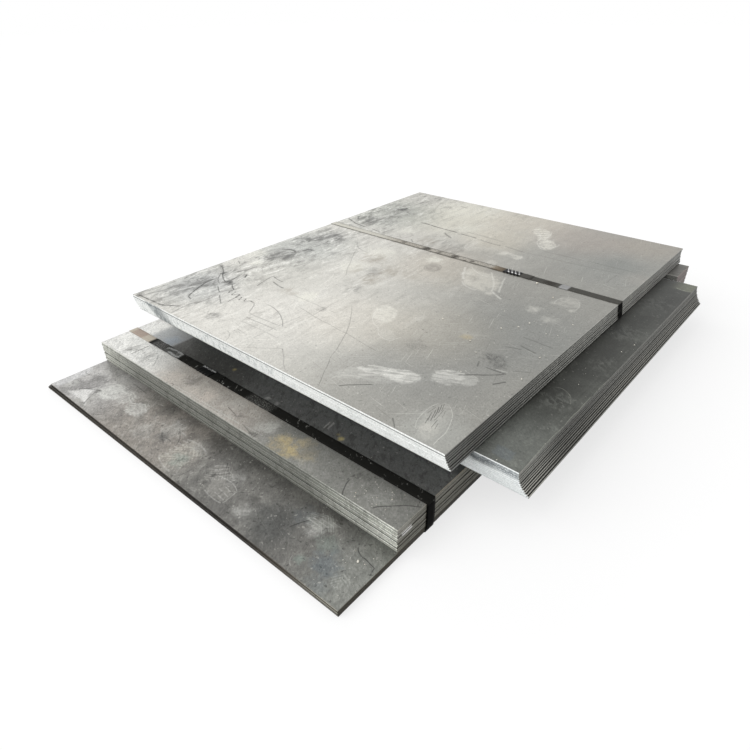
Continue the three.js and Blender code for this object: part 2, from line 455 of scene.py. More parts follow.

# %% [markdown]
# ### Sheared edge
#
# Where plates are stacked, their cut edges make a face of their own. Each cut has a rolled
# upper lip, a smooth band where the blade bit, and a torn rough band below. The group counts
# plates from the height, so the lip and the foot, where a plate meets the one below, fall on every
# plate, and adds upright tear marks, long dirt streaks and a tone that differs from plate to plate.
# The finishes paint a highlight on each lip and shade on each foot.

# %% Group: sheared edge
PLATE_PITCH = 6.3
EDGE_VALUES = ("Lip", "Foot", "Tear", "Tone", "Dirt")
cut = Group("sheared edge", {"Millimetres": ORIGIN, "Top": 0.0, "Seed": 0.0}, EDGE_VALUES)
axes = cut.put("SeparateXYZ", {0: cut.given["Millimetres"]}).outputs
plates = cut.sum("DIVIDE", cut.sum("SUBTRACT", cut.given["Top"], axes[2]), PLATE_PITCH)
number = cut.sum("FLOOR", plates)
within = cut.sum("SUBTRACT", plates, number)
run = cut.sum("ADD", axes[0], axes[1])
lane = cut.sum("ADD", cut.sum("MULTIPLY", number, 37.0), cut.given["Seed"])
upright = cut.point(cut.sum("MULTIPLY", run, 0.3), within, lane)
lengthwise = cut.point(cut.sum("MULTIPLY", run, 0.007), lane, 0.0)
cut.give(
    Lip=cut.ease(within, 0.3, 0.12),
    Foot=cut.ease(within, 0.72, 0.9),
    Tear=cut.cloud(upright, 1.0, 4.0, 0.7),
    Tone=cut.put("TexWhiteNoise", {"W": lane}, noise_dimensions="1D").outputs[0],
    Dirt=cut.cloud(lengthwise, 1.0, 4.0, 0.6),
)

# %% [markdown]
# ## A finish in layers
#
# Steel surfaces are easiest to think of as a painter does: a ground colour first, then clouds,
# wipes, dirt, prints and scratches, each laid over what is there wherever its mask is 1. The
# `Steel` class keeps the colour, roughness and metal share of the surface so far, and every
# layer mixes into them. Dust and dirt aren't metal, so a dirty layer also lowers the metal share:
# that is what makes a print look dry on a plate that shines around it.
#
# A layer's mask is a list, and its parts are multiplied. A part is a mask made before, a plain
# number for the strength, the name of a value such as "Drag", or a name with two levels that it
# is eased between, as in ("Drag", 0.5, 0.4): 0 where drag is 0.5 and 1 where it is 0.4. Two more
# numbers are what the mask is at the two levels. Colours are a paint chip's screen values.
#
# Soft patches and thin lines come in large numbers, so each set of them is drawn in a group of
# its own, which keeps the material readable and quick to build. A patch is the distance to a
# point with a torn outline. A line is a curve: the place is measured along the line from its
# first point to its last and aside from it, a float curve gives how far aside the line runs at
# each point along, and the mask is 1 where the place is nearer to it than the line's width.

# %% Patches and lines


def draw_patch(nodes, given, x, y, reach, torn=0.9):
    """1 at a place, easing to 0 at reach millimetres from it, with a torn outline."""
    gap = nodes.move("DISTANCE", given["Here"], (x, y, 0))
    return nodes.ease(nodes.add_share(given["Ragged"], reach * torn, gap), reach, reach * 0.2)


def draw_line(nodes, given, width, *points):
    """A thin line through all the points. It must not turn back on its way."""
    start = Vector(points[0])
    way = Vector(points[-1]) - start
    along = way / way.length_squared
    across = Vector((-way.y, way.x)).normalized()
    gap = nodes.move("SUBTRACT", given["Here"], (*start, 0))
    run = nodes.move("DOT_PRODUCT", gap, (*along, 0))
    aside = nodes.move("DOT_PRODUCT", gap, (*across, 0))
    offsets = [(Vector(point) - start).dot(across) for point in points]
    reach = 2 * max(1.0, *[abs(offset) for offset in offsets])
    bend = nodes.put("FloatCurve", {"Value": run})
    knots = bend.mapping.curves[0].points
    knots[0].location = (0.0, 0.5)
    knots[1].location = (1.0, 0.5)
    for point, offset in zip(points[1:-1], offsets[1:-1]):
        knots.new((Vector(point) - start).dot(along), 0.5 + offset / reach)
    bend.mapping.update()
    level = nodes.sum("MULTIPLY", nodes.sum("SUBTRACT", bend.outputs[0], 0.5), reach)
    ends = nodes.ease(nodes.away(run, 0.5), 0.5, 0.46)
    return nodes.times(nodes.ease(nodes.away(aside, level), width * 0.6, width * 0.12), ends)


def draw_set(name, draw, members):
    """A group that gives the strongest of many patches or lines, each with a strength first."""
    group = Group(name, {"Here": ORIGIN, "Ragged": 0.0}, ("Mask",))
    found = 0.0
    for strength, *member in members:
        mask = draw(group, group.given, *member)
        found = group.sum("MAXIMUM", found, group.times(mask, strength))
    group.give(Mask=found)
    return group


print("drawing helpers ready")

# %% Layered steel


class Steel(Nodes):
    """A material, and the colour, roughness and metal share that its layers have reached."""

    def __init__(self, name, colour, rough, metal, cloud_size=200.0):
        self.material = bpy.data.materials.new(name)
        self.material.use_nodes = True
        super().__init__(self.material.node_tree)
        self.shader = self.tree.nodes["Principled BSDF"].inputs
        spot = self.use(where)
        self.here = spot["Millimetres"]
        self.drawn = {"Here": spot["Wavering"], "Ragged": spot["Ragged"]}
        self.named = dict(zip("xyz", self.put("SeparateXYZ", {0: self.here}).outputs))
        self.named["Skip"] = spot["Skip"]
        self.add_names(grain, {"Cloud size": cloud_size})
        self.colour, self.rough, self.metal = chip(*colour), rough, metal

    def gloss(self, level):
        """How much the surface mirrors where it isn't metal. Plain paint has 0.5."""
        self.feed(self.shader["Specular IOR Level"], level)

    def add_names(self, group, inputs):
        """Places a group and makes its values known by their names."""
        outputs = self.use(group, {"Millimetres": self.here, **inputs})
        self.named.update((output.name, output) for output in outputs)

    def find(self, part):
        """What a name stands for, or the mask that a value and its levels stand for."""
        if isinstance(part, str):
            return self.named[part]
        if isinstance(part, tuple) and isinstance(part[0], (str, bpy.types.NodeSocket)):
            return self.ease(*part)
        return part

    def feed(self, socket, value):
        super().feed(socket, self.find(value))

    def lay(self, parts, colour, rough=None, metal=None):
        """Lays a colour, a roughness and a metal share over the surface where the mask is 1."""
        mask = self.find(self.times(*parts))
        self.colour = self.blend(mask, self.colour, chip(*colour))
        if rough is not None:
            self.rough = self.between(mask, self.rough, rough)
        if metal is not None:
            self.metal = self.between(mask, self.metal, metal)

    def shade(self, *levels):
        """Makes the colour darker or lighter by a factor: a value, two levels and the factors."""
        names = {0: levels, 6: (0, 0, 0, 1), 7: self.colour}
        self.colour = self.put("Mix", names, data_type="RGBA", clamp_factor=False).outputs[2]

    def near(self, x, y, reach, torn=0.5):
        """1 at a place, easing to 0 at reach millimetres from it."""
        return draw_patch(self, self.drawn, x, y, reach, torn)

    def blots(self, *blots):
        """The strongest of many patches, each (strength, x, y, reach)."""
        group = draw_set(self.material.name + " patches", draw_patch, blots)
        return self.use(group, self.drawn)["Mask"]

    def lines(self, *lines):
        """The strongest of many lines, each (strength, width, point, point, ...)."""
        group = draw_set(self.material.name + " lines", draw_line, lines)
        found = self.use(group, {"Here": self.drawn["Here"]})["Mask"]
        return self.times(found, ("Skip", 0.3, 0.5, 0.35, 1.0))

    def area(self, soft, *corners):
        """1 inside a patch with straight sides, given by its corners counterclockwise."""
        found = None
        for start, stop in zip(corners, corners[1:] + corners[:1]):
            side = Vector(stop) - Vector(start)
            inward = Vector((-side.y, side.x)).normalized()
            past = self.move("DOT_PRODUCT", self.drawn["Here"], (*inward, 0))
            past = self.sum("SUBTRACT", past, Vector(start).dot(inward))
            found = past if found is None else self.sum("MINIMUM", found, past)
        return self.ease(self.add_share(self.drawn["Ragged"], soft, found), 0.0, soft)

    def mark(self, x, y, width, length, turn=0.0, tearing=0.5, bar=14.0, slant=0.0):
        """An oval mark with its middle at x, y. Width is across and length along its turn."""
        cosine = math.cos(math.radians(turn))
        sine = math.sin(math.radians(turn))
        given = {"Centre": (x, y, 0), "Across": (cosine, sine, 0), "Along": (-sine, cosine, 0)}
        given.update({"Width": width, "Length": length, "Tearing": tearing})
        return self.use(sole, {**self.drawn, **given, "Bar": bar, "Slant": slant})

    def prints(self, *prints):
        """Dry prints, each (strength, how clear its tread is, colour, and the oval's numbers)."""
        for strength, clear, colour, *oval in prints:
            mark = self.mark(*oval)
            tread = self.between(clear, 1.0, mark["Tread"])
            patchy = ("Skip", 0.34, 0.56, 0.35, 1.0)
            self.lay([mark["Mask"], tread, patchy, strength], colour, 0.55, 0.35)

    def hairs(self, seed, strength, colour):
        """Hair scratches all over."""
        hairs = self.use(hair, {"Millimetres": self.here, "Seed": seed})["Mask"]
        self.lay([hairs, strength], colour)

    def strew(self, dark, pale):
        """Strews small dark and pale specks of dirt and lime, each with its strength."""
        self.lay([("Specks", 0.65, 0.7), dark], (48, 48, 46))
        self.lay([("Specks", 0.33, 0.28), pale], (214, 212, 204))

    def finish(self, relief, depth, fine=0.1):
        """Wires the layers to the shader. What stayed one value is set on the socket itself."""
        self.shade("Fine", 0.3, 0.7, 1 - fine, 1 + fine)
        names = {"Height": relief, "Strength": 1.0, "Distance": depth * MM}
        self.feed(self.shader["Normal"], self.put("Bump", names).outputs[0])
        self.feed(self.shader["Base Color"], self.colour)
        self.feed(self.shader["Roughness"], self.rough)
        self.feed(self.shader["Metallic"], self.metal)
        print(self.material.name + ":", len(self.tree.nodes), "nodes")
        return self.material


print("layered steel ready")

# %% [markdown]
# ## The uppermost plate
#
# This is the plate that everyone sees. Its left side has been wiped and walked on and is pale with
# dust, and part of that paleness is a painted sheen; its right side is cleaner and shows the warm
# dark grey of mill scale, painted darker in places where less light is mirrored. Ground, gradient,
# broad patches, clouds, grain and hair scratches come first.

# %% Top steel: ground
top = Steel("top steel", (150, 149, 143), 0.4, 0.72, cloud_size=330.0)
drift = top.sum("MULTIPLY", top.sum("SUBTRACT", "Cloud", 0.5), 700.0)
# Paler towards the left: dust, and partly a painted sheen.
leftness = top.ease(top.sum("ADD", "x", drift), -220.0, -760.0)
top.lay([leftness], (184, 182, 175), 0.44, 0.62)
# Broad patches: stains and painted light. The large pale ones on the left and at the front carry a
# painted sheen, and the darker grey ones near the right edge are painted where less light is mirrored.
for x, y, reach, strength, shown in (
    (-780, 150, 420, 0.45, (206, 204, 198)), (-850, 1330, 330, 0.6, (212, 209, 194)),
    (-1150, 1200, 330, 0.7, (152, 155, 147)), (-1150, 660, 300, 0.7, (152, 155, 151)),
    (-1150, 190, 240, 0.6, (160, 163, 162)), (-600, 1480, 300, 0.6, (200, 193, 179)),
    (-900, 1500, 240, 0.6, (218, 216, 204)), (-330, 1420, 260, 0.5, (166, 156, 147)),
    (-140, 560, 330, 0.6, (132, 134, 131)), (-230, 250, 260, 0.35, (132, 134, 132)),
    (-120, 1180, 240, 0.4, (132, 136, 133)), (-600, 850, 260, 0.4, (180, 170, 154)),
    (-1010, 420, 260, 0.45, (164, 163, 156)), (-1130, 810, 120, 0.5, (112, 112, 108)),
    (-1140, 555, 100, 0.45, (118, 118, 114)), (-1130, 1240, 110, 0.45, (118, 119, 114)),
    (-1110, 1100, 110, 0.4, (122, 122, 117)), (-1150, 200, 120, 0.4, (126, 127, 126)),
    (-1150, 800, 60, 0.4, (100, 100, 97)), (-60, 40, 130, 0.5, (176, 177, 172)),
    (-110, 1240, 110, 0.4, (122, 126, 122)), (-20, 1160, 80, 0.4, (162, 158, 151)),
    (-340, 430, 260, 0.25, (186, 178, 162)), (-590, 1190, 190, 0.4, (214, 206, 188)),
    (-100, 1500, 200, 0.35, (170, 159, 145)), (-560, 330, 240, 0.22, (214, 206, 192)),
):
    top.lay([top.near(x, y, reach, 0.1), strength], shown)
top.shade("Streak", 0.35, 0.65, 0.96, 1.04)
top.shade("Mottle", 0.36, 0.64, 0.965, 1.035)
uneven = top.times(leftness, ("Wipe", 0.42, 0.6, 0.3, 1.0))
DUSTY = (228, 227, 221)
GRIMY = (122, 119, 112)
top.lay([("Drag", 0.53, 0.6), uneven, 0.2], DUSTY, 0.5, 0.5)
top.lay([("Drag", 0.46, 0.39), uneven, 0.18], GRIMY, 0.5, 0.5)
top.lay([("Brush", 0.53, 0.62), uneven, 0.3], DUSTY, 0.5, 0.5)
top.lay([("Brush", 0.46, 0.37), uneven, 0.28], GRIMY, 0.5, 0.5)
far_left = top.times(("x", -860, -1160), ("Cloud", 0.36, 0.58, 0.4, 1))
top.lay([("Brush", 0.5, 0.38), far_left, 0.62], (88, 88, 84), 0.55, 0.4)
top.lay([("Brush", 0.54, 0.66), far_left, 0.5], (228, 228, 223), 0.5, 0.5)
top.lay([("Drag", 0.49, 0.4), far_left, 0.3], (92, 92, 88), 0.55, 0.4)
top.lay([("Drag", 0.54, 0.64), far_left, 0.25], (228, 228, 223), 0.5, 0.5)
tide = top.away("Wipe", 0.52)
top.lay([(tide, 0.012, 0.002), uneven, ("Drag", 0.44, 0.56), 0.3], (110, 107, 100), 0.5, 0.5)
top.hairs(1.0, 0.42, (222, 220, 212))
top.hairs(7.0, 0.4, (108, 106, 101))
top.strew(0.3, 0.3)
print("ground laid")

# %% [markdown]
# Dark smudges lie along the left edge, where hands and slings have rubbed the plate, and one
# small round one lies near the right front. They are soft, so they are laid before the prints.
# They are broken up by smears that run along the edge.

# %% Top steel: smudges
streaky = top.ease("Brush", 0.58, 0.42, 0.2, 1.0)
smudges = top.blots(
    (0.9, -1140, 1290, 46), (0.7, -1085, 1172, 34), (0.7, -1130, 1218, 26), (0.55, -1150, 1070, 80),
    (0.5, -1072, 1100, 50), (0.6, -1150, 730, 90), (0.9, -1106, 745, 34), (0.85, -1125, 832, 32),
    (0.75, -1086, 805, 32), (0.8, -1094, 645, 30), (0.55, -1125, 560, 70), (0.5, -1150, 500, 44),
    (0.55, -1150, 190, 80), (0.5, -1170, 110, 60), (0.95, -1078, 262, 28), (0.9, -1165, 300, 18),
    (0.5, -1210, 300, 50), (0.75, -912, 72, 32), (0.3, -700, 1000, 120), (0.45, -990, 690, 34),
    (0.4, -1215, 1320, 40), (0.4, -690, 322, 22), (0.35, -770, 640, 60), (0.3, -720, 500, 50),
)
top.lay([smudges, streaky], (70, 70, 68), 0.6, 0.2)
speckled = top.ease("Speckle", 0.4, 0.6, 0.35, 1.0)
smudge = top.blots((0.8, -128, 405, 44), (0.6, -100, 382, 30), (0.35, -330, 330, 46))
top.lay([smudge, speckled, ("Drag", 0.4, 0.56, 0.35, 1.0)], (56, 57, 55), 0.5, 0.4)
cream = top.blots(
    (0.5, -790, 352, 52), (0.4, -1150, 440, 36), (0.35, -1225, 500, 60), (0.4, -850, 640, 80),
    (0.4, -860, 800, 80), (0.35, -760, 1240, 70), (0.55, -660, 874, 44), (0.3, -940, 1060, 60),
)
top.lay([cream], (226, 225, 214), 0.55, 0.4)
tan = top.blots(
    (0.6, -868, 344, 40), (0.55, -725, 590, 60), (0.5, -720, 690, 70), (0.6, -840, 740, 70),
    (0.5, -835, 620, 50), (0.4, -800, 1010, 60), (0.35, -640, 700, 40),
)
top.lay([tan, streaky], (150, 142, 128), 0.55, 0.4)
print("smudges laid")

# %% [markdown]
# Prints next. A sole leaves a pale mark broken by the bars of its tread, and a heel often leaves
# only one bright edge, so each print is an oval or two with lines beside them. All are patchy,
# because a boot never touches everywhere.

# %% Top steel: prints
DUST = (204, 202, 194)
BRIGHT_DUST = (226, 224, 214)
top.prints(
    (0.8, 0.6, BRIGHT_DUST, -490, 1378, 74, 150, 36, 0.35, 24, 0.3),
    (0.6, 0.6, BRIGHT_DUST, -450, 1318, 54, 60, 36, 0.5, 18, 0.3),
    (0.8, 0.5, BRIGHT_DUST, -412, 1272, 68, 120, 24, 0.35, 15, 0.3),
    (0.55, 0.1, BRIGHT_DUST, -518, 418, 78, 130, 41, 0.3),
    (0.3, 0.1, DUST, -430, 328, 44, 78, 64, 0.3),
    (0.4, 0.2, DUST, -122, 846, 80, 86, 20, 0.6),
    (0.6, 0.6, (100, 95, 90), -622, 806, 60, 70, 20, 0.3, 10, 0.0),
)
for x, y, width, length, strength in ((-622, 806, 66, 78, 0.35), (-905, 1016, 46, 74, 0.3)):
    ring = top.mark(x, y, width, length, 10, 0.25)["Rim"]
    top.lay([ring, strength], (118, 114, 106), 0.5, 0.4)
heel = top.mark(-84, 82, 66, 158, 17, 0.15)["Mask"]
top.lay([heel, ("Mottle", 0.4, 0.6, 0.4, 1), 0.26], DUST, 0.5, 0.5)
dusty = top.blots(
    (0.6, -184, 732, 34), (0.4, -115, 700, 40), (0.55, -490, 985, 30), (0.4, -560, 1090, 50),
    (0.5, -160, 812, 18), (0.5, -92, 800, 18), (0.4, -60, 150, 14), (0.4, -80, 52, 26),
    (0.3, -460, 640, 50), (0.3, -470, 560, 40), (0.35, -600, 1060, 50), (0.3, -240, 480, 40),
    (0.7, -430, 1085, 20), (0.5, -490, 1096, 26), (0.6, -500, 838, 34), (0.5, -462, 780, 30),
    (0.6, -355, 752, 24),
)
top.lay([dusty, ("Mottle", 0.38, 0.58, 0.35, 1.0)], DUST, 0.55, 0.4)
patchy = top.ease("Mottle", 0.38, 0.56, 0.25, 1.0)
wedge = top.area(18, (-536, 890), (-500, 815), (-455, 746), (-335, 736), (-345, 800), (-388, 905))
top.lay([wedge, patchy, 0.6], (206, 203, 193), 0.5, 0.5)
footing = top.area(12, (-520, 1062), (-424, 1056), (-418, 1104), (-516, 1120))
top.lay([footing, patchy, 0.6], (208, 206, 197), 0.5, 0.5)
print("prints laid")

# %% [markdown]
# White wipes cross the front of the plate, drawn out along one direction, as a hand with lime on
# it leaves them. They are long marks made of the same print group, torn much harder. All thin
# lines come last, in three sets: pale edges of prints and wipes, dark scratches and scribbles, and
# scratches so fine that they stay grey.

# %% Top steel: wipes and pale lines
WIPE_TURN = -62
smeared = top.slanted(top.here, WIPE_TURN, 0.13, 0.014)
wiping = top.ease(top.cloud(smeared, 1.0, 5.0, 0.66, 0.4), 0.38, 0.6, 0.25, 1.0)
for x, y, width, length, turn, strength in (
    (-264, 182, 62, 112, -70, 0.7), (-244, 184, 70, 64, -70, 0.4), (-330, 158, 30, 104, -62, 0.6),
    (-368, 112, 56, 120, -42, 0.2), (-300, 140, 60, 120, -60, 0.2), (-166, 252, 76, 96, -56, 0.48),
    (-186, 266, 24, 66, -62, 0.45), (-122, 272, 56, 60, -50, 0.3),
):
    wipe = top.mark(x, y, width, length, turn, 0.55)["Mask"]
    top.lay([wipe, wiping, strength], (224, 223, 217), 0.6, 0.3)
pale_lines = top.lines(
    (0.7, 9, (-362, 162), (-335, 176), (-286, 192)), (0.4, 10, (-352, 112), (-318, 140), (-280, 172)),
    (0.3, 7, (-392, 60), (-372, 90), (-340, 112)), (0.7, 4, (-97, 361), (-65, 366)),
    (0.6, 4, (-552, 440), (-535, 385), (-505, 352), (-478, 340), (-458, 320)),
    (0.7, 4, (-458, 320), (-438, 306), (-412, 302), (-394, 314)), (0.6, 4, (-398, 308), (-389, 340)),
    (0.7, 8, (-534, 1400), (-482, 1345), (-464, 1300), (-444, 1255), (-402, 1216)),
    (0.6, 7, (-470, 1430), (-458, 1385), (-452, 1340)),
    (0.6, 8, (-384, 1308), (-376, 1286), (-396, 1236)), (0.8, 12, (-536, 888), (-508, 832), (-478, 790)),
    (0.7, 9, (-380, 895), (-350, 812), (-330, 772)), (0.6, 10, (-476, 776), (-430, 744), (-388, 750)),
    (0.6, 8, (-440, 905), (-400, 850), (-352, 762)), (0.5, 7, (-520, 905), (-470, 870), (-420, 862)),
    (0.6, 8, (-436, 1112), (-424, 1086), (-426, 1060)), (0.8, 10, (-350, 768), (-326, 748), (-300, 732)),
    (0.5, 7, (-158, 815), (-152, 868), (-122, 886)), (0.45, 5, (-122, 886), (-96, 862), (-84, 800)),
    (0.7, 2.8, (-103, 153), (-79, 137), (-56, 101), (-44, 64), (-41, 35), (-38, 8)),
    (0.6, 2.8, (-116, 144), (-124, 130), (-126, 102), (-120, 67), (-103, 33)),
    (0.5, 6, (-862, 545), (-836, 500), (-822, 432)), (0.35, 8, (-930, 760), (-880, 640), (-830, 560)),
    (0.4, 9, (-664, 1150), (-655, 1080), (-640, 1040)), (0.4, 10, (-1242, 40), (-1240, 700)),
    (0.3, 12, (-1236, 700), (-1238, 1540)),
)
top.lay([pale_lines, 0.62], (220, 219, 212), 0.55, 0.4)
top.lay([top.near(-247, 455, 24), speckled, 0.6], (180, 164, 124), 0.6, 0.2)

# %% Top steel: dark lines
dark_lines = top.lines(
    (0.8, 7, (-1148, 250), (-1134, 190), (-1115, 140), (-1094, 108)),
    (0.7, 6, (-1100, 110), (-1070, 101)), (0.6, 6, (-1224, 336), (-1185, 316), (-1165, 300)),
    (0.75, 6, (-1167, 302), (-1130, 276), (-1096, 260)),
    (0.5, 5, (-1165, 290), (-1140, 262), (-1100, 238)),
    (0.6, 6, (-1105, 336), (-1094, 290), (-1078, 258)), (0.85, 9, (-1090, 346), (-1073, 323)),
    (0.5, 5, (-1080, 330), (-1066, 288)),
    (0.8, 6, (-1060, 264), (-1040, 246), (-1024, 240), (-1014, 214), (-1004, 230), (-992, 208),
     (-978, 224), (-968, 202), (-956, 214), (-946, 198), (-936, 216), (-926, 202), (-912, 216),
     (-894, 214)),
    (0.5, 4, (-905, 217), (-880, 207), (-867, 190), (-850, 163)), (0.6, 5, (-972, 224), (-963, 165)),
    (0.6, 5, (-1088, 221), (-1040, 195)), (0.6, 5, (-1024, 183), (-992, 160), (-968, 147)),
    (0.55, 5, (-1005, 398), (-998, 350), (-987, 304)), (0.6, 5, (-1007, 397), (-980, 388), (-943, 384)),
    (0.55, 7, (-970, 362), (-935, 354), (-901, 352)), (0.55, 6, (-1217, 409), (-1188, 393)),
    (0.65, 8, (-1234, 13), (-1160, 15), (-1108, 19), (-1080, 34), (-1048, 51)),
    (0.4, 8, (-1042, 52), (-1034, 4)), (0.45, 4, (-854, 232), (-800, 228), (-760, 210), (-694, 164)),
    (0.36, 3, (-764, 288), (-700, 276), (-600, 262), (-500, 251), (-388, 234)),
    (0.36, 3, (-642, 402), (-590, 345), (-548, 290), (-500, 205), (-452, 110), (-384, 6)),
    (0.25, 4, (-690, 402), (-686, 330), (-680, 245)), (0.25, 4, (-832, 334), (-760, 332), (-638, 330)),
    (0.6, 2.2, (-96, 60), (-104, 81)), (0.7, 2.4, (-98, 71), (-112, 102)),
    (0.7, 2.4, (-93, 75), (-111, 115)), (0.7, 2.6, (-95, 88), (-112, 130)),
    (0.65, 2.4, (-100, 109), (-111, 142)), (0.6, 2.2, (-99, 120), (-108, 149)),
    (0.6, 2.2, (-76, 56), (-84, 87)), (0.5, 2.2, (-66, 55), (-75, 78)), (0.5, 2.0, (-88, 80), (-98, 130)),
    (0.4, 2.0, (-82, 100), (-92, 128)), (0.5, 2, (-118, 96), (-116, 124)),
    (0.65, 5, (-353, 45), (-322, 78), (-288, 107)), (0.55, 5, (-166, 29), (-141, 3)),
    (0.6, 14, (-1180, 586), (-1150, 608), (-1116, 600)), (0.45, 9, (-1110, 602), (-1088, 556)),
    (0.3, 4, (-952, 762), (-880, 650), (-814, 558)), (0.7, 6, (-154, 277), (-110, 312), (-64, 354)),
    (0.6, 5, (-120, 352), (-62, 356)), (0.65, 7, (-66, 295), (-43, 324)),
    (0.4, 4, (-62, 377), (-16, 401)), (0.5, 6, (-151, 368), (-138, 343)),
    (0.3, 7, (-127, 556), (-28, 552)), (0.4, 8, (-107, 507), (-53, 499)),
    (0.4, 6, (-137, 477), (-93, 491)), (0.75, 9, (-962, 1176), (-930, 1184), (-860, 1176), (-762, 1174)),
    (0.6, 9, (-745, 1169), (-668, 1164)), (0.5, 12, (-804, 1142), (-780, 1122), (-748, 1106)),
    (0.4, 9, (-646, 1160), (-600, 1152), (-548, 1152)),
    (0.25, 9, (-740, 1206), (-640, 1200), (-552, 1196)),
    (0.3, 10, (-532, 1158), (-490, 1152), (-440, 1148)),
    (0.12, 10, (-440, 1148), (-180, 1160), (-68, 1172)),
    (0.16, 10, (-402, 1198), (-300, 1205), (-150, 1212), (-42, 1214)),
    (0.7, 9, (-1244, 1031), (-1180, 1004), (-1108, 989)), (0.55, 7, (-1068, 991), (-1018, 976)),
    (0.5, 10, (-1230, 1082), (-1203, 1050)), (0.35, 5, (-1006, 832), (-960, 790), (-893, 774)),
    (0.45, 8, (-864, 994), (-838, 972)), (0.4, 9, (-958, 1482), (-916, 1478)),
)
top.lay([dark_lines], (44, 43, 41), 0.7, 0.0)
faint_lines = top.lines(
    (0.8, 5, (-850, 160), (-800, 158), (-710, 162)), (0.9, 4, (-832, 136), (-780, 137), (-688, 140)),
    (0.7, 4, (-822, 110), (-740, 112), (-658, 108)), (0.8, 4, (-792, 71), (-738, 65)),
    (0.8, 4, (-802, 46), (-775, 34), (-760, 8)), (0.6, 4, (-1042, 255), (-1041, 150), (-1038, 40)),
    (0.6, 4, (-690, 10), (-640, 50), (-598, 81)), (0.7, 4, (-602, 80), (-540, 30), (-508, 8)),
    (0.7, 6, (-92, 1152), (-96, 1066)), (0.6, 5, (-710, 60), (-706, 250)),
)
top.lay([faint_lines, 0.6], (110, 108, 104))
top_steel = top.finish("Speckle", 0.12, 0.12)

# %% [markdown]
# ## The other faces that show
#
# The middle plate is dark with oil and olive grey, with cloudy dry patches. The lower plate is
# painted pale at its far left, as sheen, and runs to mid grey at the near corner, with a rust bloom
# and the marks of a chain; under the top pack's overhang it is painted darker, as shade. The base
# plate is walked on, painted paler towards its far left, as sheen, and darker along the lower pack,
# as shadow. The strips behind have one dull grey face.

# %% Middle steel
middle = Steel("middle steel", (54, 55, 51), 0.42, 0.66, cloud_size=160.0)
middle.lay([("Cloud", 0.46, 0.66), 0.6], (80, 82, 77))
middle.lay([("Cloud", 0.44, 0.3), 0.5], (46, 48, 46))
middle.lay([("y", 400, 160), 0.9], (112, 115, 110))
outward = middle.times(("x", 60, 120), ("y", 620, 300, 0.4, 1.0), ("Streak", 0.35, 0.6, 0.5, 1.0))
middle.lay([outward, 0.46], (112, 114, 108))
middle.shade("Streak", 0.35, 0.65, 0.95, 1.05)
middle.shade("Mottle", 0.36, 0.64, 0.93, 1.07)
dry = middle.blots(
    (0.3, 62, 398, 64), (0.4, 104, 286, 28), (0.25, 70, 225, 60), (0.4, 96, 122, 20), (0.2, 90, 640, 60),
    (0.2, 70, 860, 80), (0.25, 60, 1120, 90),
)
middle.lay([dry, ("Drag", 0.42, 0.58)], (140, 143, 136))
middle.lay([("y", 900, 1150), 0.4], (42, 43, 41))
wet = middle.area(8, (34, 122), (92, 118), (88, 164), (30, 162))
middle.lay([wet, 0.5], (112, 119, 122), 0.4, 0.6)
inner_lines = middle.lines(
    (0.5, 1.8, (122, 112), (121, 300), (121, 480)), (0.4, 1.8, (121, 480), (126, 900), (128, 1290)),
    (0.3, 3, (20, 452), (60, 456), (96, 408)), (0.7, 6, (70, 1300), (95, 1291), (122, 1294)),
)
middle.lay([inner_lines], (170, 172, 160), 0.5, 0.4)
middle.lay([("y", 1274, 1308), ("x", 40, 100), 0.55], (140, 142, 126), 0.6, 0.3)
middle.strew(0.2, 0.1)
middle_steel = middle.finish("Speckle", 0.12, 0.17)

# %% Lower steel
lower = Steel("lower steel", (134, 134, 129), 0.42, 0.62, cloud_size=150.0)
lower.lay([("Cloud", 0.5, 0.68), 0.4], (150, 149, 142))
# Paler towards the far left: painted sheen.
lower.lay([("x", -430, -600), 0.9], (172, 166, 158), 0.46, 0.56)
lower.lay([("x", -860, -1060), 0.95], (218, 218, 214), 0.5, 0.45)
lower.shade("Streak", 0.35, 0.65, 0.97, 1.03)
lower.shade("Mottle", 0.36, 0.64, 0.92, 1.08)
lower.lay([("Drag", 0.5, 0.42), ("x", -960, -1060), 0.3], (136, 134, 130), 0.5, 0.5)
lower.lay([("Drag", 0.53, 0.6), ("x", -460, -620, 0.3, 1), 0.35], (206, 204, 198), 0.5, 0.5)
# Under the top pack's overhang: grey, then a bluish painted reflection of the overhang's underside, then
# dark painted shade with drag streaks in it.
slot = lower.ease("y", -10, 0)
lower.lay([slot, ("x", -1195, -1165), 0.9], (160, 163, 163))
lower.lay([lower.near(-1090, 22, 46), slot, 0.7], (158, 168, 178), 0.4, 0.6)
in_slot = lower.times(slot, ("x", -1068, -1054))
lower.lay([in_slot], (100, 100, 96), 0.42, 0.5)
lower.lay([in_slot, ("x", -1050, -900)], (84, 84, 81))
lower.lay([in_slot, ("x", -820, -600)], (112, 113, 111))
lower.lay([in_slot, ("Drag", 0.5, 0.4), 0.5], (62, 62, 58))
lower.lay([in_slot, ("Drag", 0.56, 0.66), 0.4], (136, 136, 130))
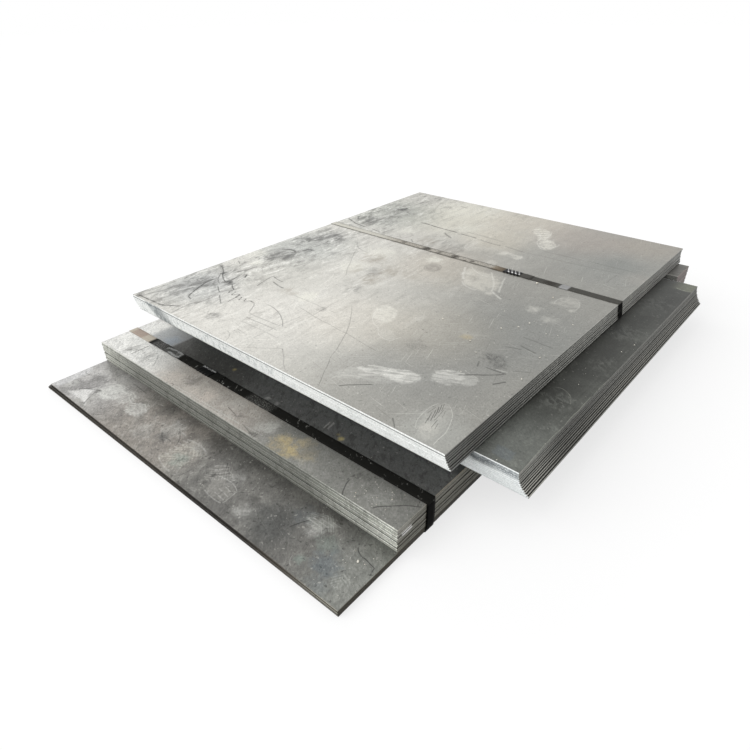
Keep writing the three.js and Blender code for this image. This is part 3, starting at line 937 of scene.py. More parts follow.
# Painted shadow, deepest next to the middle pack.
lower.shade("y", 66, 102, 1.0, 0.35)
tan = lower.blots((0.7, -736, -96, 40), (0.4, -790, -104, 34), (0.4, -905, -108, 60))
lower.lay([tan], (196, 188, 178), 0.6, 0.3)
blotched = lower.ease("Mottle", 0.42, 0.58, 0.45, 1.0)
bloom = lower.blots(
    (0.85, -420, -98, 46), (0.85, -386, -104, 42), (0.5, -372, -62, 34), (0.4, -340, -90, 40)
)
lower.lay([bloom, blotched], (184, 168, 128), 0.7, 0.1)
light = lower.blots(
    (0.6, -490, -76, 36), (0.5, -512, -98, 26), (0.4, -308, -60, 18), (0.3, -330, -118, 20),
    (0.35, -112, -80, 40), (0.3, -640, -60, 40), (0.5, -600, 8, 14), (0.4, -560, 6, 12),
)
lower.lay([light, blotched], (190, 190, 184), 0.6, 0.3)
soiled = lower.blots(
    (0.9, -201, -70, 7), (0.8, -206, -47, 5), (0.8, -179, -49, 7), (0.9, -166, -57, 7),
    (0.8, -190, -70, 6), (0.8, -193, -56, 5), (0.5, -186, -62, 20), (0.6, -500, -124, 20),
    (0.5, -1150, -92, 34), (0.5, -1122, -84, 22), (0.45, -1060, -90, 40), (0.35, -1180, -70, 30),
    (0.4, -840, -70, 40), (0.4, -590, -98, 16),
)
lower.lay([soiled, ("Brush", 0.54, 0.44, 0.2, 1.0)], (78, 77, 73), 0.6, 0.3)
for x, y, reach, strength in ((-320, 9, 13, 0.8), (-336, 18, 8, 0.5), (-794, 42, 10, 0.7)):
    lower.lay([lower.near(x, y, reach), strength], (158, 146, 98), 0.7, 0.1)
chain = lower.lines(
    (0.8, 4, (-101, -124), (-84, -100), (-56, -74), (-18, -48)),
    (0.8, 4, (-198, -84), (-190, -112), (-176, -134)), (0.6, 5, (-1123, -44), (-1121, -112)),
    (0.5, 5, (-1162, -112), (-1136, -92), (-1110, -70)), (0.5, 4, (-648, -92), (-620, -98), (-596, -106)),
    (0.5, 4, (-880, -130), (-868, -122), (-858, -130)),
    (0.4, 4, (-1050, -60), (-1020, -84), (-1000, -112)), (0.4, 4, (-560, -112), (-500, -128)),
)
lower.lay([chain], (62, 61, 58), 0.6, 0.3)
pale_lines = lower.lines(
    (0.4, 7, (-378, 44), (-374, 14)), (0.3, 4, (-545, -112), (-480, -114)),
    (0.5, 6, (-1240, -131), (-860, -131), (-470, -132)), (0.5, 5, (-388, 38), (-384, 10)),
    (0.5, 5, (-860, -120), (-700, -122), (-560, -118)),
)
lower.lay([pale_lines], (196, 196, 190), 0.6, 0.3)
lower.strew(0.45, 0.35)
lower_steel = lower.finish("Speckle", 0.12, 0.21)

# %% Base steel
base = Steel("base steel", (112, 111, 107), 0.45, 0.56, cloud_size=120.0)
# Paler towards the far left: painted sheen.
base.lay([("x", -540, -700), 0.8], (152, 146, 138), 0.5, 0.5)
base.lay([("x", -900, -1130), 0.8], (186, 185, 183), 0.5, 0.5)
base.lay([("Cloud", 0.5, 0.66), 0.5], (146, 145, 139))
base.lay([("Cloud", 0.46, 0.34), 0.4], (98, 97, 95))
base.lay([base.near(-290, -250, 100, 0.3), 0.85], (84, 85, 83))
base.lay([("x", -180, -60), 0.75], (144, 146, 140))
base.shade("Streak", 0.35, 0.65, 0.97, 1.03)
base.shade("Mottle", 0.36, 0.64, 0.88, 1.12)
base.lay([("Drag", 0.49, 0.41), ("x", -280, -560, 0.5, 1), 0.26], (88, 86, 83), 0.5, 0.5)
base.lay([("Drag", 0.54, 0.62), ("x", -280, -700, 0.5, 1), 0.22], (190, 188, 183), 0.5, 0.5)
base.lay([("Brush", 0.46, 0.36), 0.3], (88, 86, 83), 0.5, 0.5)
# Darker next to the lower pack: painted shadow.
base.shade("y", -190, -140, 1.0, 0.8)
base.hairs(4.0, 0.25, (176, 175, 168))
PALE = (206, 206, 201)
base.prints(
    (0.9, 0.2, PALE, -1075, -218, 104, 84, 10, 0.5),
    (0.6, 0.6, PALE, -1010, -206, 70, 66, 30, 0.6, 13, 0.9),
    (0.62, 0.55, PALE, -935, -218, 84, 64, 0, 0.6, 12, 0.5),
    (0.7, 0.45, (190, 186, 176), -654, -250, 96, 132, 0, 0.6, 12, 0.8),
    (0.5, 0.6, (178, 176, 170), -520, -228, 80, 76, 0, 0.65, 11, 1.2),
    (0.28, 0.5, (166, 164, 158), -470, -262, 96, 64, 10, 0.6, 13, 0.6),
    (0.65, 0.75, (172, 174, 168), -205, -180, 92, 54, 8, 0.5, 8.5, 1.2),
    (0.5, 0.8, (176, 178, 172), -62, -266, 54, 44, 20, 0.5, 8.5, 0.8),
)
for corners, strength, shown in (
    (((-500, -290), (-430, -292), (-428, -238), (-520, -232)), 0.3, (164, 162, 156)),
    (((-246, -196), (-190, -212), (-160, -160), (-196, -158)), 0.4, (160, 162, 156)),
    (((-960, -246), (-902, -246), (-902, -190), (-960, -190)), 0.3, (196, 195, 190)),
):
    base.lay([base.area(10, *corners), strength], shown, 0.55, 0.4)
wedge = base.area(12, (-1196, -308), (-1062, -308), (-1136, -234))
base.lay([wedge, ("Mottle", 0.36, 0.56, 0.8, 1.0), 0.9], (220, 219, 216), 0.55, 0.4)
# The far left corner, outside the lower pack's shadow, is painted light.
corner = base.area(16, (-1275, -320), (-1225, -320), (-1225, -200), (-1275, -170))
base.lay([corner, 0.6], (214, 214, 214), 0.55, 0.4)
dust = base.blots(
    (0.4, -765, -206, 60), (0.35, -370, -275, 40), (0.4, -1215, -280, 26), (0.4, -640, -200, 40),
    (0.35, -470, -215, 40), (0.3, -830, -260, 50), (0.35, -200, -205, 30),
)
base.lay([dust, ("Mottle", 0.4, 0.6, 0.4, 1.0)], PALE, 0.55, 0.4)
greenish = base.blots((0.6, -165, -278, 18), (0.5, -640, -262, 36), (0.4, -150, -214, 34))
base.lay([greenish], (138, 150, 142), 0.5, 0.5)
bluish = base.blots((0.7, -118, -256, 50), (0.4, -90, -305, 40), (0.3, -250, -190, 40))
base.lay([bluish], (112, 119, 122), 0.5, 0.5)
soiled = base.blots(
    (0.7, -525, -244, 10), (0.6, -520, -274, 12), (0.6, -590, -174, 10), (0.5, -760, -236, 26),
    (0.5, -860, -160, 50), (0.5, -620, -162, 60), (0.4, -380, -226, 24), (0.4, -1180, -205, 30),
    (0.5, -1112, -244, 14), (0.4, -700, -190, 30), (0.35, -480, -170, 50),
)
base.lay([soiled], (70, 69, 66), 0.5, 0.5)
dark_lines = base.lines(
    (0.8, 3, (-94, -173), (-80, -188), (-55, -191), (-30, -195)), (0.8, 3, (-31, -194), (-24, -217)),
    (0.8, 4, (-250, -236), (-240, -212), (-230, -194)),
    (0.6, 7, (-1172, -278), (-1140, -252), (-1108, -238)),
    (0.5, 6, (-1115, -250), (-1090, -290), (-1080, -306)), (0.5, 5, (-1014, -318), (-985, -298)),
    (0.5, 5, (-780, -228), (-760, -242), (-735, -256)),
    (0.5, 4, (-740, -200), (-715, -218), (-700, -240)),
    (0.5, 4, (-770, -252), (-745, -238), (-722, -240)), (0.6, 4, (-535, -190), (-515, -212)),
    (0.6, 4, (-520, -198), (-500, -216)), (0.5, 5, (-1070, -152), (-980, -156)),
    (0.5, 4, (-1255, -208), (-1230, -216), (-1205, -200)), (0.5, 4, (-590, -300), (-584, -260)),
)
base.lay([dark_lines], (54, 53, 51), 0.6, 0.3)
pale_lines = base.lines(
    (0.6, 7, (-1128, -216), (-1105, -186), (-1060, -178), (-1010, -186)),
    (0.5, 4, (-1010, -184), (-984, -204), (-978, -236)),
    (0.5, 4, (-840, -218), (-780, -200), (-712, -198)),
    (0.7, 7, (-700, -206), (-650, -196), (-606, -206)),
    (0.5, 3, (-185, -282), (-180, -296), (-166, -304)), (0.5, 3, (-186, -162), (-156, -160)),
    (0.5, 7, (-1225, -262), (-1218, -305)), (0.6, 5, (-706, -214), (-684, -211)),
    (0.6, 5, (-706, -228), (-682, -225)), (0.6, 5, (-704, -243), (-682, -240)),
    (0.6, 5, (-702, -258), (-680, -256)), (0.6, 5, (-700, -272), (-680, -271)),
    (0.6, 6, (-700, -288), (-670, -300), (-620, -306)), (0.6, 5, (-552, -222), (-528, -198)),
    (0.6, 5, (-540, -230), (-514, -201)), (0.6, 5, (-526, -234), (-500, -205)),
    (0.5, 5, (-512, -236), (-488, -208)), (0.7, 5, (-520, -237), (-470, -231), (-434, -239)),
    (0.6, 4, (-432, -240), (-429, -288)), (0.6, 5, (-500, -288), (-460, -292), (-430, -289)),
    (0.5, 4, (-474, -250), (-436, -253)), (0.5, 4, (-478, -263), (-434, -267)),
    (0.5, 4, (-474, -276), (-434, -280)), (0.7, 4, (-214, -171), (-172, -169)),
    (0.7, 4, (-232, -181), (-178, -179)), (0.7, 4, (-242, -191), (-184, -189)),
    (0.6, 4, (-216, -201), (-188, -199)), (0.5, 4, (-208, -211), (-190, -210)),
    *((0.5, 5, (x, -190), (x, -246)) for x in (-956, -940, -924, -908)),
    *((0.5, 4, (-962, y), (-902, y)) for y in (-204, -220, -238)),
    (0.6, 6, (-1062, -184), (-1050, -215), (-1056, -246)),
    (0.6, 6, (-1042, -184), (-1028, -214), (-1034, -242)),
    (0.6, 6, (-1022, -186), (-1010, -212), (-1014, -234)),
    (0.5, 5, (-1000, -196), (-992, -212), (-994, -228)),
)
base.lay([pale_lines, 0.5], (206, 205, 200), 0.55, 0.4)
base.strew(0.5, 0.3)
base_steel = base.finish("Speckle", 0.12, 0.22)

# %% End steel and covered steel
strip = Steel("end strip steel", (100, 99, 94), 0.45, 0.6, cloud_size=90.0)
strip.lay([("Cloud", 0.45, 0.65), 0.6], (136, 134, 128))
strip.shade("Streak", 0.3, 0.7, 0.92, 1.08)
end_steel = strip.finish("Speckle", 0.12)

covered = Steel("covered steel", (70, 70, 67), 0.42, 0.66, cloud_size=260.0)
covered.lay([("Cloud", 0.45, 0.65), 0.6], (94, 93, 89))
covered.shade("Streak", 0.3, 0.7, 0.92, 1.08)
covered_steel = covered.finish("Speckle", 0.12)

# %% [markdown]
# ## Cut edges
#
# The short ends were sheared last and are still bright, almost white where the light meets them;
# the long sides were slit at the mill and have gone dark. Each pack has its own pair of edge
# finishes, all from one function: a body colour, torn streaks over it, long dirt streaks, a
# painted highlight on the upper lip of every plate, and a painted shade line where two plates meet.

# %% Edge finish
CUT_SHINY, CUT_DULL = 0.5, 0.6


def cut_steel(name, top_z, seed, body, tear, dirt, lip, gap, spread, metal=0.4, gloss=0.5):
    """body is a colour; tear, dirt, lip and gap are a colour and how strongly it shows. The lip colour
    is a painted highlight and the gap colour painted shade where two plates meet.
    """
    rough = CUT_SHINY if metal > 0.2 else CUT_DULL
    steel = Steel(name, body, rough, metal, cloud_size=120.0)
    steel.gloss(gloss)
    steel.add_names(cut, {"Top": top_z, "Seed": seed})
    steel.shade("Tone", 0.0, 1.0, 1.0 - spread, 1.0 + spread)
    torn, dirty = ("Tear", 0.46, 0.66), ("Dirt", 0.42, 0.66)
    for mask, (colour, strength) in ((torn, tear), (dirty, dirt), ("Lip", lip), ("Foot", gap)):
        steel.lay([mask, strength], colour)
    return steel


end = cut_steel(
    "top pack ends", TOP_Z, 1.0, body=(252, 254, 251), tear=((226, 232, 230), 0.4),
    dirt=((240, 245, 243), 0.3), lip=((254, 254, 253), 0.6), gap=((190, 198, 198), 0.25), spread=0.02,
    metal=0.1,
)
scraped = [("Drag", 0.5, 0.4), ("z", -7, -10), ("x", -300, -800, 0.15, 0.55)]
end.lay(scraped, (166, 174, 173))
# Dark lines under the first and second plates: painted shade in the grooves.
end.lay([("z", -4.0, -4.8), ("z", -7.6, -6.6), 0.9], (74, 76, 75))
second_gap = [("z", -11.6, -12.2), ("z", -14.0, -13.2), ("x", -640, -900, 0.2, 1.0), 0.5]
end.lay(second_gap, (110, 114, 113))
aslant = end.sum("ADD", "x", "z")
patch = [(aslant, -1190, -1160), (aslant, -1060, -1110), ("Drag", 0.4, 0.56, 0.3, 1.0), 0.85]
end.lay(patch, (114, 121, 123))
# Painted shade along the bottom edge of the pack.
end.lay([("z", -48.6, -49.4), 0.7], (60, 62, 61))
end.shade("x", -460, -720, 1.0, 0.92)
top_end_steel = end.finish("Tear", 0.2, 0.16)

side = cut_steel(
    "top pack sides", TOP_Z, 2.0, body=(100, 100, 97), tear=((82, 82, 79), 0.5),
    dirt=((122, 122, 118), 0.5), lip=((150, 150, 145), 0.4), gap=((44, 44, 43), 0.55), spread=0.16,
    metal=0.45,
)
# Near-black lines at each plate's foot, broken where dirt streaks run: painted shade in the grooves.
side.lay([("Dirt", 0.5, 0.38), "Foot", 0.8], (20, 20, 19))
side.lay([("Drag", 0.55, 0.66), 0.4], (150, 150, 145))
side.shade("y", 0, 760, 1.0, 2.4)
side.shade("y", 1000, 1450, 1.0, 0.68)
top_side_steel = side.finish("Tear", 0.25)

# %% Middle and end pack edges
end = cut_steel(
    "middle pack ends", MIDDLE_Z, 3.0, body=(250, 254, 253), tear=((220, 229, 230), 0.4),
    dirt=((240, 247, 247), 0.4), lip=((254, 254, 254), 0.5), gap=((190, 200, 202), 0.4), spread=0.04,
    metal=0.1,
)
rough_band = [("z", -78, -66), ("z", -52.5, -55.0), ("Tear", 0.36, 0.54, 0.25, 1.0), 0.8]
end.lay(rough_band, (126, 134, 138))
# Dark lines at each plate's foot, stronger lower down: painted shade in the grooves.
gaps = ["Foot", ("Dirt", 0.36, 0.5, 0.3, 1.0), ("z", -96, -72, 0.45, 1.0)]
end.lay(gaps, (52, 58, 62))
dirty = [("x", 74, 30), ("z", -84, -72), ("z", -54, -58), ("Dirt", 0.36, 0.56), 0.7]
end.lay(dirty, (70, 76, 80))
middle_end_steel = end.finish("Tear", 0.3, 0.12)

side = cut_steel(
    "middle pack sides", MIDDLE_Z, 4.0, body=(92, 93, 89), tear=((72, 73, 70), 0.5),
    dirt=((112, 109, 104), 0.5), lip=((126, 124, 118), 0.25), gap=((52, 50, 47), 0.4), spread=0.08,
    metal=0.45,
)
# In the lowest plates, painted shade at each foot and a painted highlight on each lip.
lowest = side.ease("z", -84, -98)
side.lay([lowest, "Foot", 0.9], (16, 16, 15))
side.lay([lowest, "Lip", 0.5], (160, 158, 150))
side.shade("y", 120, 330, 2.2, 0.88)
side.shade("y", 330, 700, 1.0, 1.45)
middle_side_steel = side.finish("Tear", 0.25, 0.16)

end = cut_steel(
    "strip pack ends", MIDDLE_Z, 5.0, body=(140, 140, 135), tear=((108, 108, 104), 0.5),
    dirt=((122, 114, 106), 0.5), lip=((176, 176, 170), 0.5), gap=((50, 48, 46), 0.7), spread=0.12,
    metal=0.35,
)
strip_end_steel = end.finish("Tear", 0.25)
side = cut_steel(
    "strip pack sides", MIDDLE_Z, 6.0, body=(104, 94, 90), tear=((78, 68, 65), 0.5),
    dirt=((118, 98, 84), 0.6), lip=((150, 140, 134), 0.5), gap=((38, 34, 33), 0.8), spread=0.2,
    metal=0.35,
)
strip_side_steel = side.finish("Tear", 0.25)

# %% Lower and base pack edges
end = cut_steel(
    "lower pack ends", LOWER_Z, 7.0, body=(138, 139, 132), tear=((112, 113, 107), 0.5),
    dirt=((158, 159, 152), 0.3), lip=((176, 177, 170), 0.2), gap=((100, 101, 97), 0.3), spread=0.05,
    metal=0.35,
)
# Near the corner, painted shade at each foot and a painted highlight on each lip.
near_corner = end.ease("x", -260, -130)
end.lay([near_corner, "Foot", 0.7], (60, 61, 58))
end.lay([near_corner, "Lip", 0.45], (166, 167, 163))
end.lay([("Drag", 0.5, 0.4), 0.5], (96, 96, 90))
end.shade("x", -330, -120, 1.0, 1.9)
end.shade("x", -120, -20, 1.0, 1.4)
end.shade("x", -1040, -1240, 1.0, 2.1)
lower_end_steel = end.finish("Tear", 0.25, 0.2)
side = cut_steel(
    "lower pack sides", LOWER_Z, 8.0, body=(118, 118, 110), tear=((84, 84, 78), 0.5),
    dirt=((130, 126, 116), 0.5), lip=((166, 163, 153), 0.55), gap=((20, 19, 17), 0.85), spread=0.25,
    metal=0.35, gloss=0.08,
)
rusty = [("Tone", 0.62, 0.7), "Lip", ("Dirt", 0.4, 0.55), 0.8]
side.lay(rusty, (150, 120, 84), 0.7, 0.1)
# Paler at the top of the face near the corner: painted light.
side.lay([("y", -70, -105), ("z", -172, -150), 0.6], (168, 167, 160))
# A painted glint on the upper plates near the corner.
glint = [
    ("x", -700, -600), ("y", -122, -118), ("y", -84, -88), ("z", -156, -153),
    ("z", -145.5, -147.0),
]
side.lay(glint, (254, 254, 252), 0.6, 0.0)
lower_side_steel = side.finish("Tear", 0.25, 0.16)

end = cut_steel(
    "base pack ends", BASE_Z, 9.0, body=(64, 59, 53), tear=((42, 39, 35), 0.6), dirt=((76, 70, 62), 0.5),
    lip=((104, 98, 88), 0.5), gap=((20, 18, 16), 0.7), spread=0.1, metal=0.3, gloss=0.08,
)
# Bright lips near the corner: painted highlights.
end.lay([("x", -200, -40), "Lip", 0.8], (172, 170, 158))
end.shade("x", -180, -340, 1.0, 0.3)
end.shade("x", -480, -760, 1.0, 2.4)
base_end_steel = end.finish("Tear", 0.25)
side = cut_steel(
    "base pack sides", BASE_Z, 10.0, body=(42, 40, 36), tear=((28, 26, 23), 0.5),
    dirt=((54, 51, 45), 0.5), lip=((122, 117, 104), 0.6), gap=((10, 9, 8), 0.9), spread=0.15, metal=0.25,
    gloss=0.04,
)
base_side_steel = side.finish("Tear", 0.25)

# %% [markdown]
# ## Plates
#
# A sheared plate isn't a box. The blade rolls the upper lip over, bites a smooth straight band,
# and then the steel tears and leans inwards down to a small burr. That section is swept round the
# plate's own outline, taken from its solid, with slightly blunt corners and an edge that wanders
# by a fraction of a millimetre. It never reaches past the solid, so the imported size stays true.

# %% Plate outline
EDGE_STEP = 25.0
CORNER_ROUND = 1.6
CORNER_STEPS = 3
EDGE_WANDER = 0.3
WANDER_GRAIN = 0.021


def plate_outline(node):
    """A plate's four upper corners, counterclockwise from the near left one, and its heights."""
    points = {tuple(round(c, 7) for c in v.co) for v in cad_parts[node].data.vertices}
    low_z = min(p[2] for p in points)
    high_z = max(p[2] for p in points)
    upper = [Vector(p[:2]) for p in sorted(points) if p[2] > (low_z + high_z) / 2]
    middle = sum(upper, Vector((0, 0))) / len(upper)
    upper.sort(key=lambda p: math.atan2(p.y - middle.y, p.x - middle.x))
    return upper, low_z, high_z


def edge_ring(corners, inset, seed):
    """Points round the outline, inset millimetres inside it, and the side that each belongs to."""
    ring = []
    for side in range(4):
        start, stop = corners[side], corners[(side + 1) % 4]
        before = corners[(side + 3) % 4]
        along = (stop - start).normalized()
        inward = Vector((-along.y, along.x))
        last_inward = Vector(((before - start).y, (start - before).x)).normalized()
        round_middle = start + (inward + last_inward) * CORNER_ROUND * MM
        for k in range(CORNER_STEPS):
            share = (k + 0.5) / CORNER_STEPS
            outward = -(last_inward * (1 - share) + inward * share).normalized()
            ring.append((round_middle + outward * (CORNER_ROUND - inset) * MM, side))
        length = (stop - start).length / MM - 2 * CORNER_ROUND
        count = max(2, round(length / EDGE_STEP))
        for k in range(count + 1):
            along_mm = CORNER_ROUND + length * k / count
            wander = noise.noise(Vector((along_mm * WANDER_GRAIN, seed * 3.7, side * 5.1))) + 1
            inside = inset + EDGE_WANDER * wander / 2 * (0 < k < count)
            ring.append((start + along * along_mm * MM + inward * inside * MM, side))
    return ring


outline = plate_outline("top_plate_08")[0]
print("corners of the uppermost plate:", [tuple(round(c, 3) for c in p) for p in outline])

# %% [markdown]
# Plates, straps and seals are all made in the same way: a row of rings is joined by bands and
# closed by a flat cap at each end, and the finished mesh rides on the stack in place of its solid.

# %% Skin and finished piece


def skin(mesh, rings, finishes=None, clockwise=False):
    """Joins rings of points by smooth bands and caps them. A band's finish goes by its side.

    The rings run counterclockwise as seen from outside the first one, or clockwise.
    """
    for a, b in zip(rings, rings[1:]):
        for i in range(len(a)):
            j = (i + 1) % len(a)
            round_it = (a[i], a[j], b[j], b[i]) if clockwise else (a[i], b[i], b[j], a[j])
            band = mesh.faces.new(round_it)
            band.smooth = True
            band.material_index = finishes[i] if finishes else 0
    first, last = list(rings[0]), list(rings[-1])
    (first if clockwise else last).reverse()
    return mesh.faces.new(first), mesh.faces.new(last)


def make_piece(name, mesh, materials, node=None):
    """The object made of a mesh. It rides on the stack and may stand for a solid's node."""
    data = bpy.data.meshes.new(name)
    mesh.to_mesh(data)
    mesh.free()
    for material in materials:
        data.materials.append(material)
    piece = bpy.data.objects.new(name, data)
    scene.collection.objects.link(piece)
    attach(piece, "root")
    if node:
        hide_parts(node)
    return piece


print("skin and piece helpers ready")

# %% [markdown]
# The bands of a plate take the end finish or the side finish by the side that they run along,
# and its caps take the pack's own face finish if they show, or the plain finish of covered steel
# if they don't.

# %% Plate mesh
# Each point of a cut: how far inside the outline and how far below the upper face it lies.
CRISP_EDGE = [(0.55, 0.0), (0.2, 0.08), (0.0, 0.4), (0.0, 3.0), (0.15, 4.2), (0.2, 5.7), (0.5, 6.0)]
WORN_EDGE = [(1.1, 0.0), (0.4, 0.12), (0.05, 0.6), (0.0, 2.6), (0.3, 3.6), (0.4, 5.5), (0.9, 6.0)]
UPPER_FACE, UNDER_FACE, END_CUT, SIDE_CUT = range(4)


def build_plate(node, edge_rows, materials, seed):
    """The finished plate that stands for a plate's solid."""
    corners, low_z, high_z = plate_outline(node)
    mesh = bmesh.new()
    rows = []
    for inset, depth in edge_rows:
        ring = edge_ring(corners, inset, seed)
        z = max(high_z - depth * MM, low_z)
        rows.append([mesh.verts.new((p.x, p.y, z)) for p, _ in ring])
    cuts = [SIDE_CUT if side % 2 else END_CUT for _, side in ring]
    upper, under = skin(mesh, rows, cuts)
    upper.material_index, under.material_index = UPPER_FACE, UNDER_FACE
    return make_piece(node + "_sheared", mesh, materials, node)


# Each pack: how many plates, their cut, their slot, and the steel of face, ends and sides.
PACKS = {
    "top_plate": (8, CRISP_EDGE, "top_steel", top_steel, top_end_steel, top_side_steel),
    "middle_plate": (
        12, WORN_EDGE, "middle_steel", middle_steel, middle_end_steel, middle_side_steel
    ),
    "end_strip": (12, WORN_EDGE, "end_steel", end_steel, strip_end_steel, strip_side_steel),
    "lower_plate": (11, WORN_EDGE, "lower_steel", lower_steel, lower_end_steel, lower_side_steel),
    "base_plate": (3, WORN_EDGE, "base_steel", base_steel, base_end_steel, base_side_steel),
}


def plate_names(pack):
    """The nodes of a pack's plates, the lowest first."""
    return [f"{pack}_{number:02d}" for number in range(1, PACKS[pack][0] + 1)]


plates = []
for pack, (_, edge_rows, slot, face_steel, end_cut, side_cut) in PACKS.items():
    names = plate_names(pack)
    for name in names:
        upper_face = face_steel if name == names[-1] else covered_steel
        finishes = (upper_face, covered_steel, end_cut, side_cut)
        plates.append(build_plate(name, edge_rows, finishes, len(plates) + 1))
print("plates:", len(plates), "with", sum(len(p.data.polygons) for p in plates), "faces")

# %% [markdown]
# ## Straps
#
# A steel strap is pulled taut, so it follows the straight lines between the outermost plate
# edges. The same rule gives its path here: every plate's outline is cut where the strap crosses
# it, the corners of those cuts are wrapped in one convex outline, and the strap lies just outside
# it. It starts under the seal, runs once round and climbs over its own start.

# %% Strap path
STRAP_WIDTH = 32.0
STRAP_THICKNESS = 0.9
STRAP_GAP = 0.3
STRAP_LAP = 150.0
STRAP_STEP = 9.0
RAMP_FOOT = 12
RAMP_HEAD = 1.2
BEND_STEPS = 4
SHARP_BEND = 0.3


def section_of(names, strap_y):
    """The corners, as (x, z) in metres, of all the plates' sections under the strap."""
    points = []
    for name in names:
        corners, low_z, high_z = plate_outline(name)
        for y in (strap_y - STRAP_WIDTH / 2, strap_y + STRAP_WIDTH / 2):
            level = CORNER.y + y * MM
            for a, b in zip(corners, corners[1:] + corners[:1]):
                if (a.y - level) * (b.y - level) < 0:
                    x = a.x + (b.x - a.x) * (level - a.y) / (b.y - a.y)
                    points += [Vector((x, low_z)), Vector((x, high_z))]
    return points


def taut_path(points, distance):
    """The convex outline moved outwards, clockwise, as points with the way outwards at each."""
    single = [Vector(p) for p in sorted({(round(p.x, 6), round(p.y, 6)) for p in points})]
    hull = [single[i] for i in geometry.convex_hull_2d(single)]
    if sum(a.x * b.y - b.x * a.y for a, b in zip(hull, hull[1:] + hull[:1])) > 0:
        hull.reverse()
    path = []
    for i, corner in enumerate(hull):
        before = (corner - hull[i - 1]).normalized()
        after = (hull[(i + 1) % len(hull)] - corner).normalized()
        out_before = Vector((-before.y, before.x))
        out_after = Vector((-after.y, after.x))
        steps = BEND_STEPS if out_before.angle(out_after) > SHARP_BEND else 1
        for k in range(steps + 1):
            out = out_before.slerp(out_after, k / steps)
            path.append((corner + out * distance, out))
    return path


def strap_run(names, strap_y, seal_x):
    """The strap's middle line from its covered end, once round, to its free end over the seal."""
    around = taut_path(section_of(names, strap_y), (STRAP_GAP + STRAP_THICKNESS / 2) * MM)
    top_z = max(point.y for point, _ in around)
    seal = CORNER.x + seal_x * MM
    first = next(
        i for i, (point, _) in enumerate(around)
        if point.x > seal and around[i - 1][0].x < seal and top_z - point.y < MM
    )
    lap = STRAP_LAP / 2 * MM
    high_z = top_z + (STRAP_THICKNESS + STRAP_GAP) * MM
    up = Vector((0, 1))
    return [
        (Vector((seal - lap, top_z)), up), *around[first:], *around[:first],
        (Vector((seal - lap - RAMP_FOOT * MM, top_z)), up),
        (Vector((seal - lap - RAMP_HEAD * MM, high_z)), up), (Vector((seal + lap, high_z)), up),
    ]


def spaced(run):
    """The run with extra points, so that no two are further apart than the strap's step."""
    path = [run[0]]
    for (a, out_a), (b, out_b) in zip(run, run[1:]):
        count = max(1, math.ceil((b - a).length / MM / STRAP_STEP))
        for k in range(1, count + 1):
            share = k / count
            path.append((a.lerp(b, share), out_a.lerp(out_b, share).normalized()))
    return path


lower_names = plate_names("base_plate") + plate_names("lower_plate")
lower_run = spaced(strap_run(lower_names, LOWER_STRAP_Y, LOWER_SEAL_X))
top_run = spaced(strap_run(plate_names("top_plate"), TOP_STRAP_Y, TOP_SEAL_X))
print("strap points:", len(lower_run), len(top_run))

# %% [markdown]
# Strap that has been handled isn't flat: it is creased near the seal, where the tool gripped it,
# and it bellies a little off the plate in between. `lift` gives that height along the upper run
# only, so the strap stays tight round the corners. The band itself is a closed tube with a flat
# section and rounded edges.

# %% Strap mesh
STRAP_UNDERSIDE = (
    (-16.0, -0.2), (-15.8, -0.45), (-8.0, -0.45), (0.0, -0.45), (8.0, -0.45), (15.8, -0.45),
    (16.0, -0.2),
)
STRAP_SECTION = STRAP_UNDERSIDE + tuple((-across, -thick) for across, thick in STRAP_UNDERSIDE)
FACES_UP = 0.999
BELLY = 0.5


def lift(x, across, creases, seed):
    """Height in millimetres of the creased strap over its taut line, at x and across it."""
    height = 0.0
    for middle, reach, rise, slant in creases:
        away = abs(x + slant * across - middle) / reach
        if away < 1:
            height = max(height, rise * (1 - away) ** 1.5)
    return height + BELLY * max(0.0, noise.noise(Vector((x * 0.012, across * 0.02, seed))))


def build_strap(name, run, strap_y, creases, seed, material):
    """The wound strap that stands for a strap's solid."""
    mesh = bmesh.new()
    rings = []
    for point, out in run:
        x = (point.x - CORNER.x) / MM
        ring = []
        for across, thick in STRAP_SECTION:
            rise = lift(x, across, creases, seed) if out.y > FACES_UP else 0.0
            spot = point + out * (thick + rise) * MM
            ring.append(mesh.verts.new((spot.x, CORNER.y + (strap_y + across) * MM, spot.y)))
        rings.append(ring)
    skin(mesh, rings, clockwise=True)
    bmesh.ops.recalc_face_normals(mesh, faces=mesh.faces)
    return make_piece(name + "_wound", mesh, [material], name)


print("section points:", len(STRAP_SECTION))

# %% [markdown]
# Both straps were lacquered black. The lacquer is deep and even where nothing has touched it, and
# elsewhere it is scuffed grey, dusty or worn down to brown primer. The upper runs are painted
# lighter than the runs down the sides, as light falls on them, and the paler middle of the top
# strap's upper run, between two thin dark edges, is partly worn lacquer and partly a painted
# reflection of the sky. The grey and silvery marks on the lower strap's creases are painted glints.

# %% Strap finishes
LACQUER_GLOSS = 0.005


def strap_steel(name, lacquer, strap_y):
    """Black lacquer with nicks. It also knows how far a place is from the strap's middle."""
    steel = Steel(name, lacquer, 0.34, 0.0, cloud_size=60.0)
    steel.gloss(LACQUER_GLOSS)
    steel.named["Off middle"] = steel.away("y", strap_y)
    steel.lay([("Cloud", 0.5, 0.7), 0.3], (40, 40, 38), 0.4)
    steel.lay([("Drag", 0.6, 0.66), "Specks"], (190, 190, 184), 0.5)
    return steel


def stretch(steel, start, stop, soft=12.0):
    """1 between two places along the strap."""
    return steel.times(("x", start - soft, start + soft), ("x", stop + soft, stop - soft))


high_strap = strap_steel("top strap lacquer", (26, 26, 25), TOP_STRAP_Y)
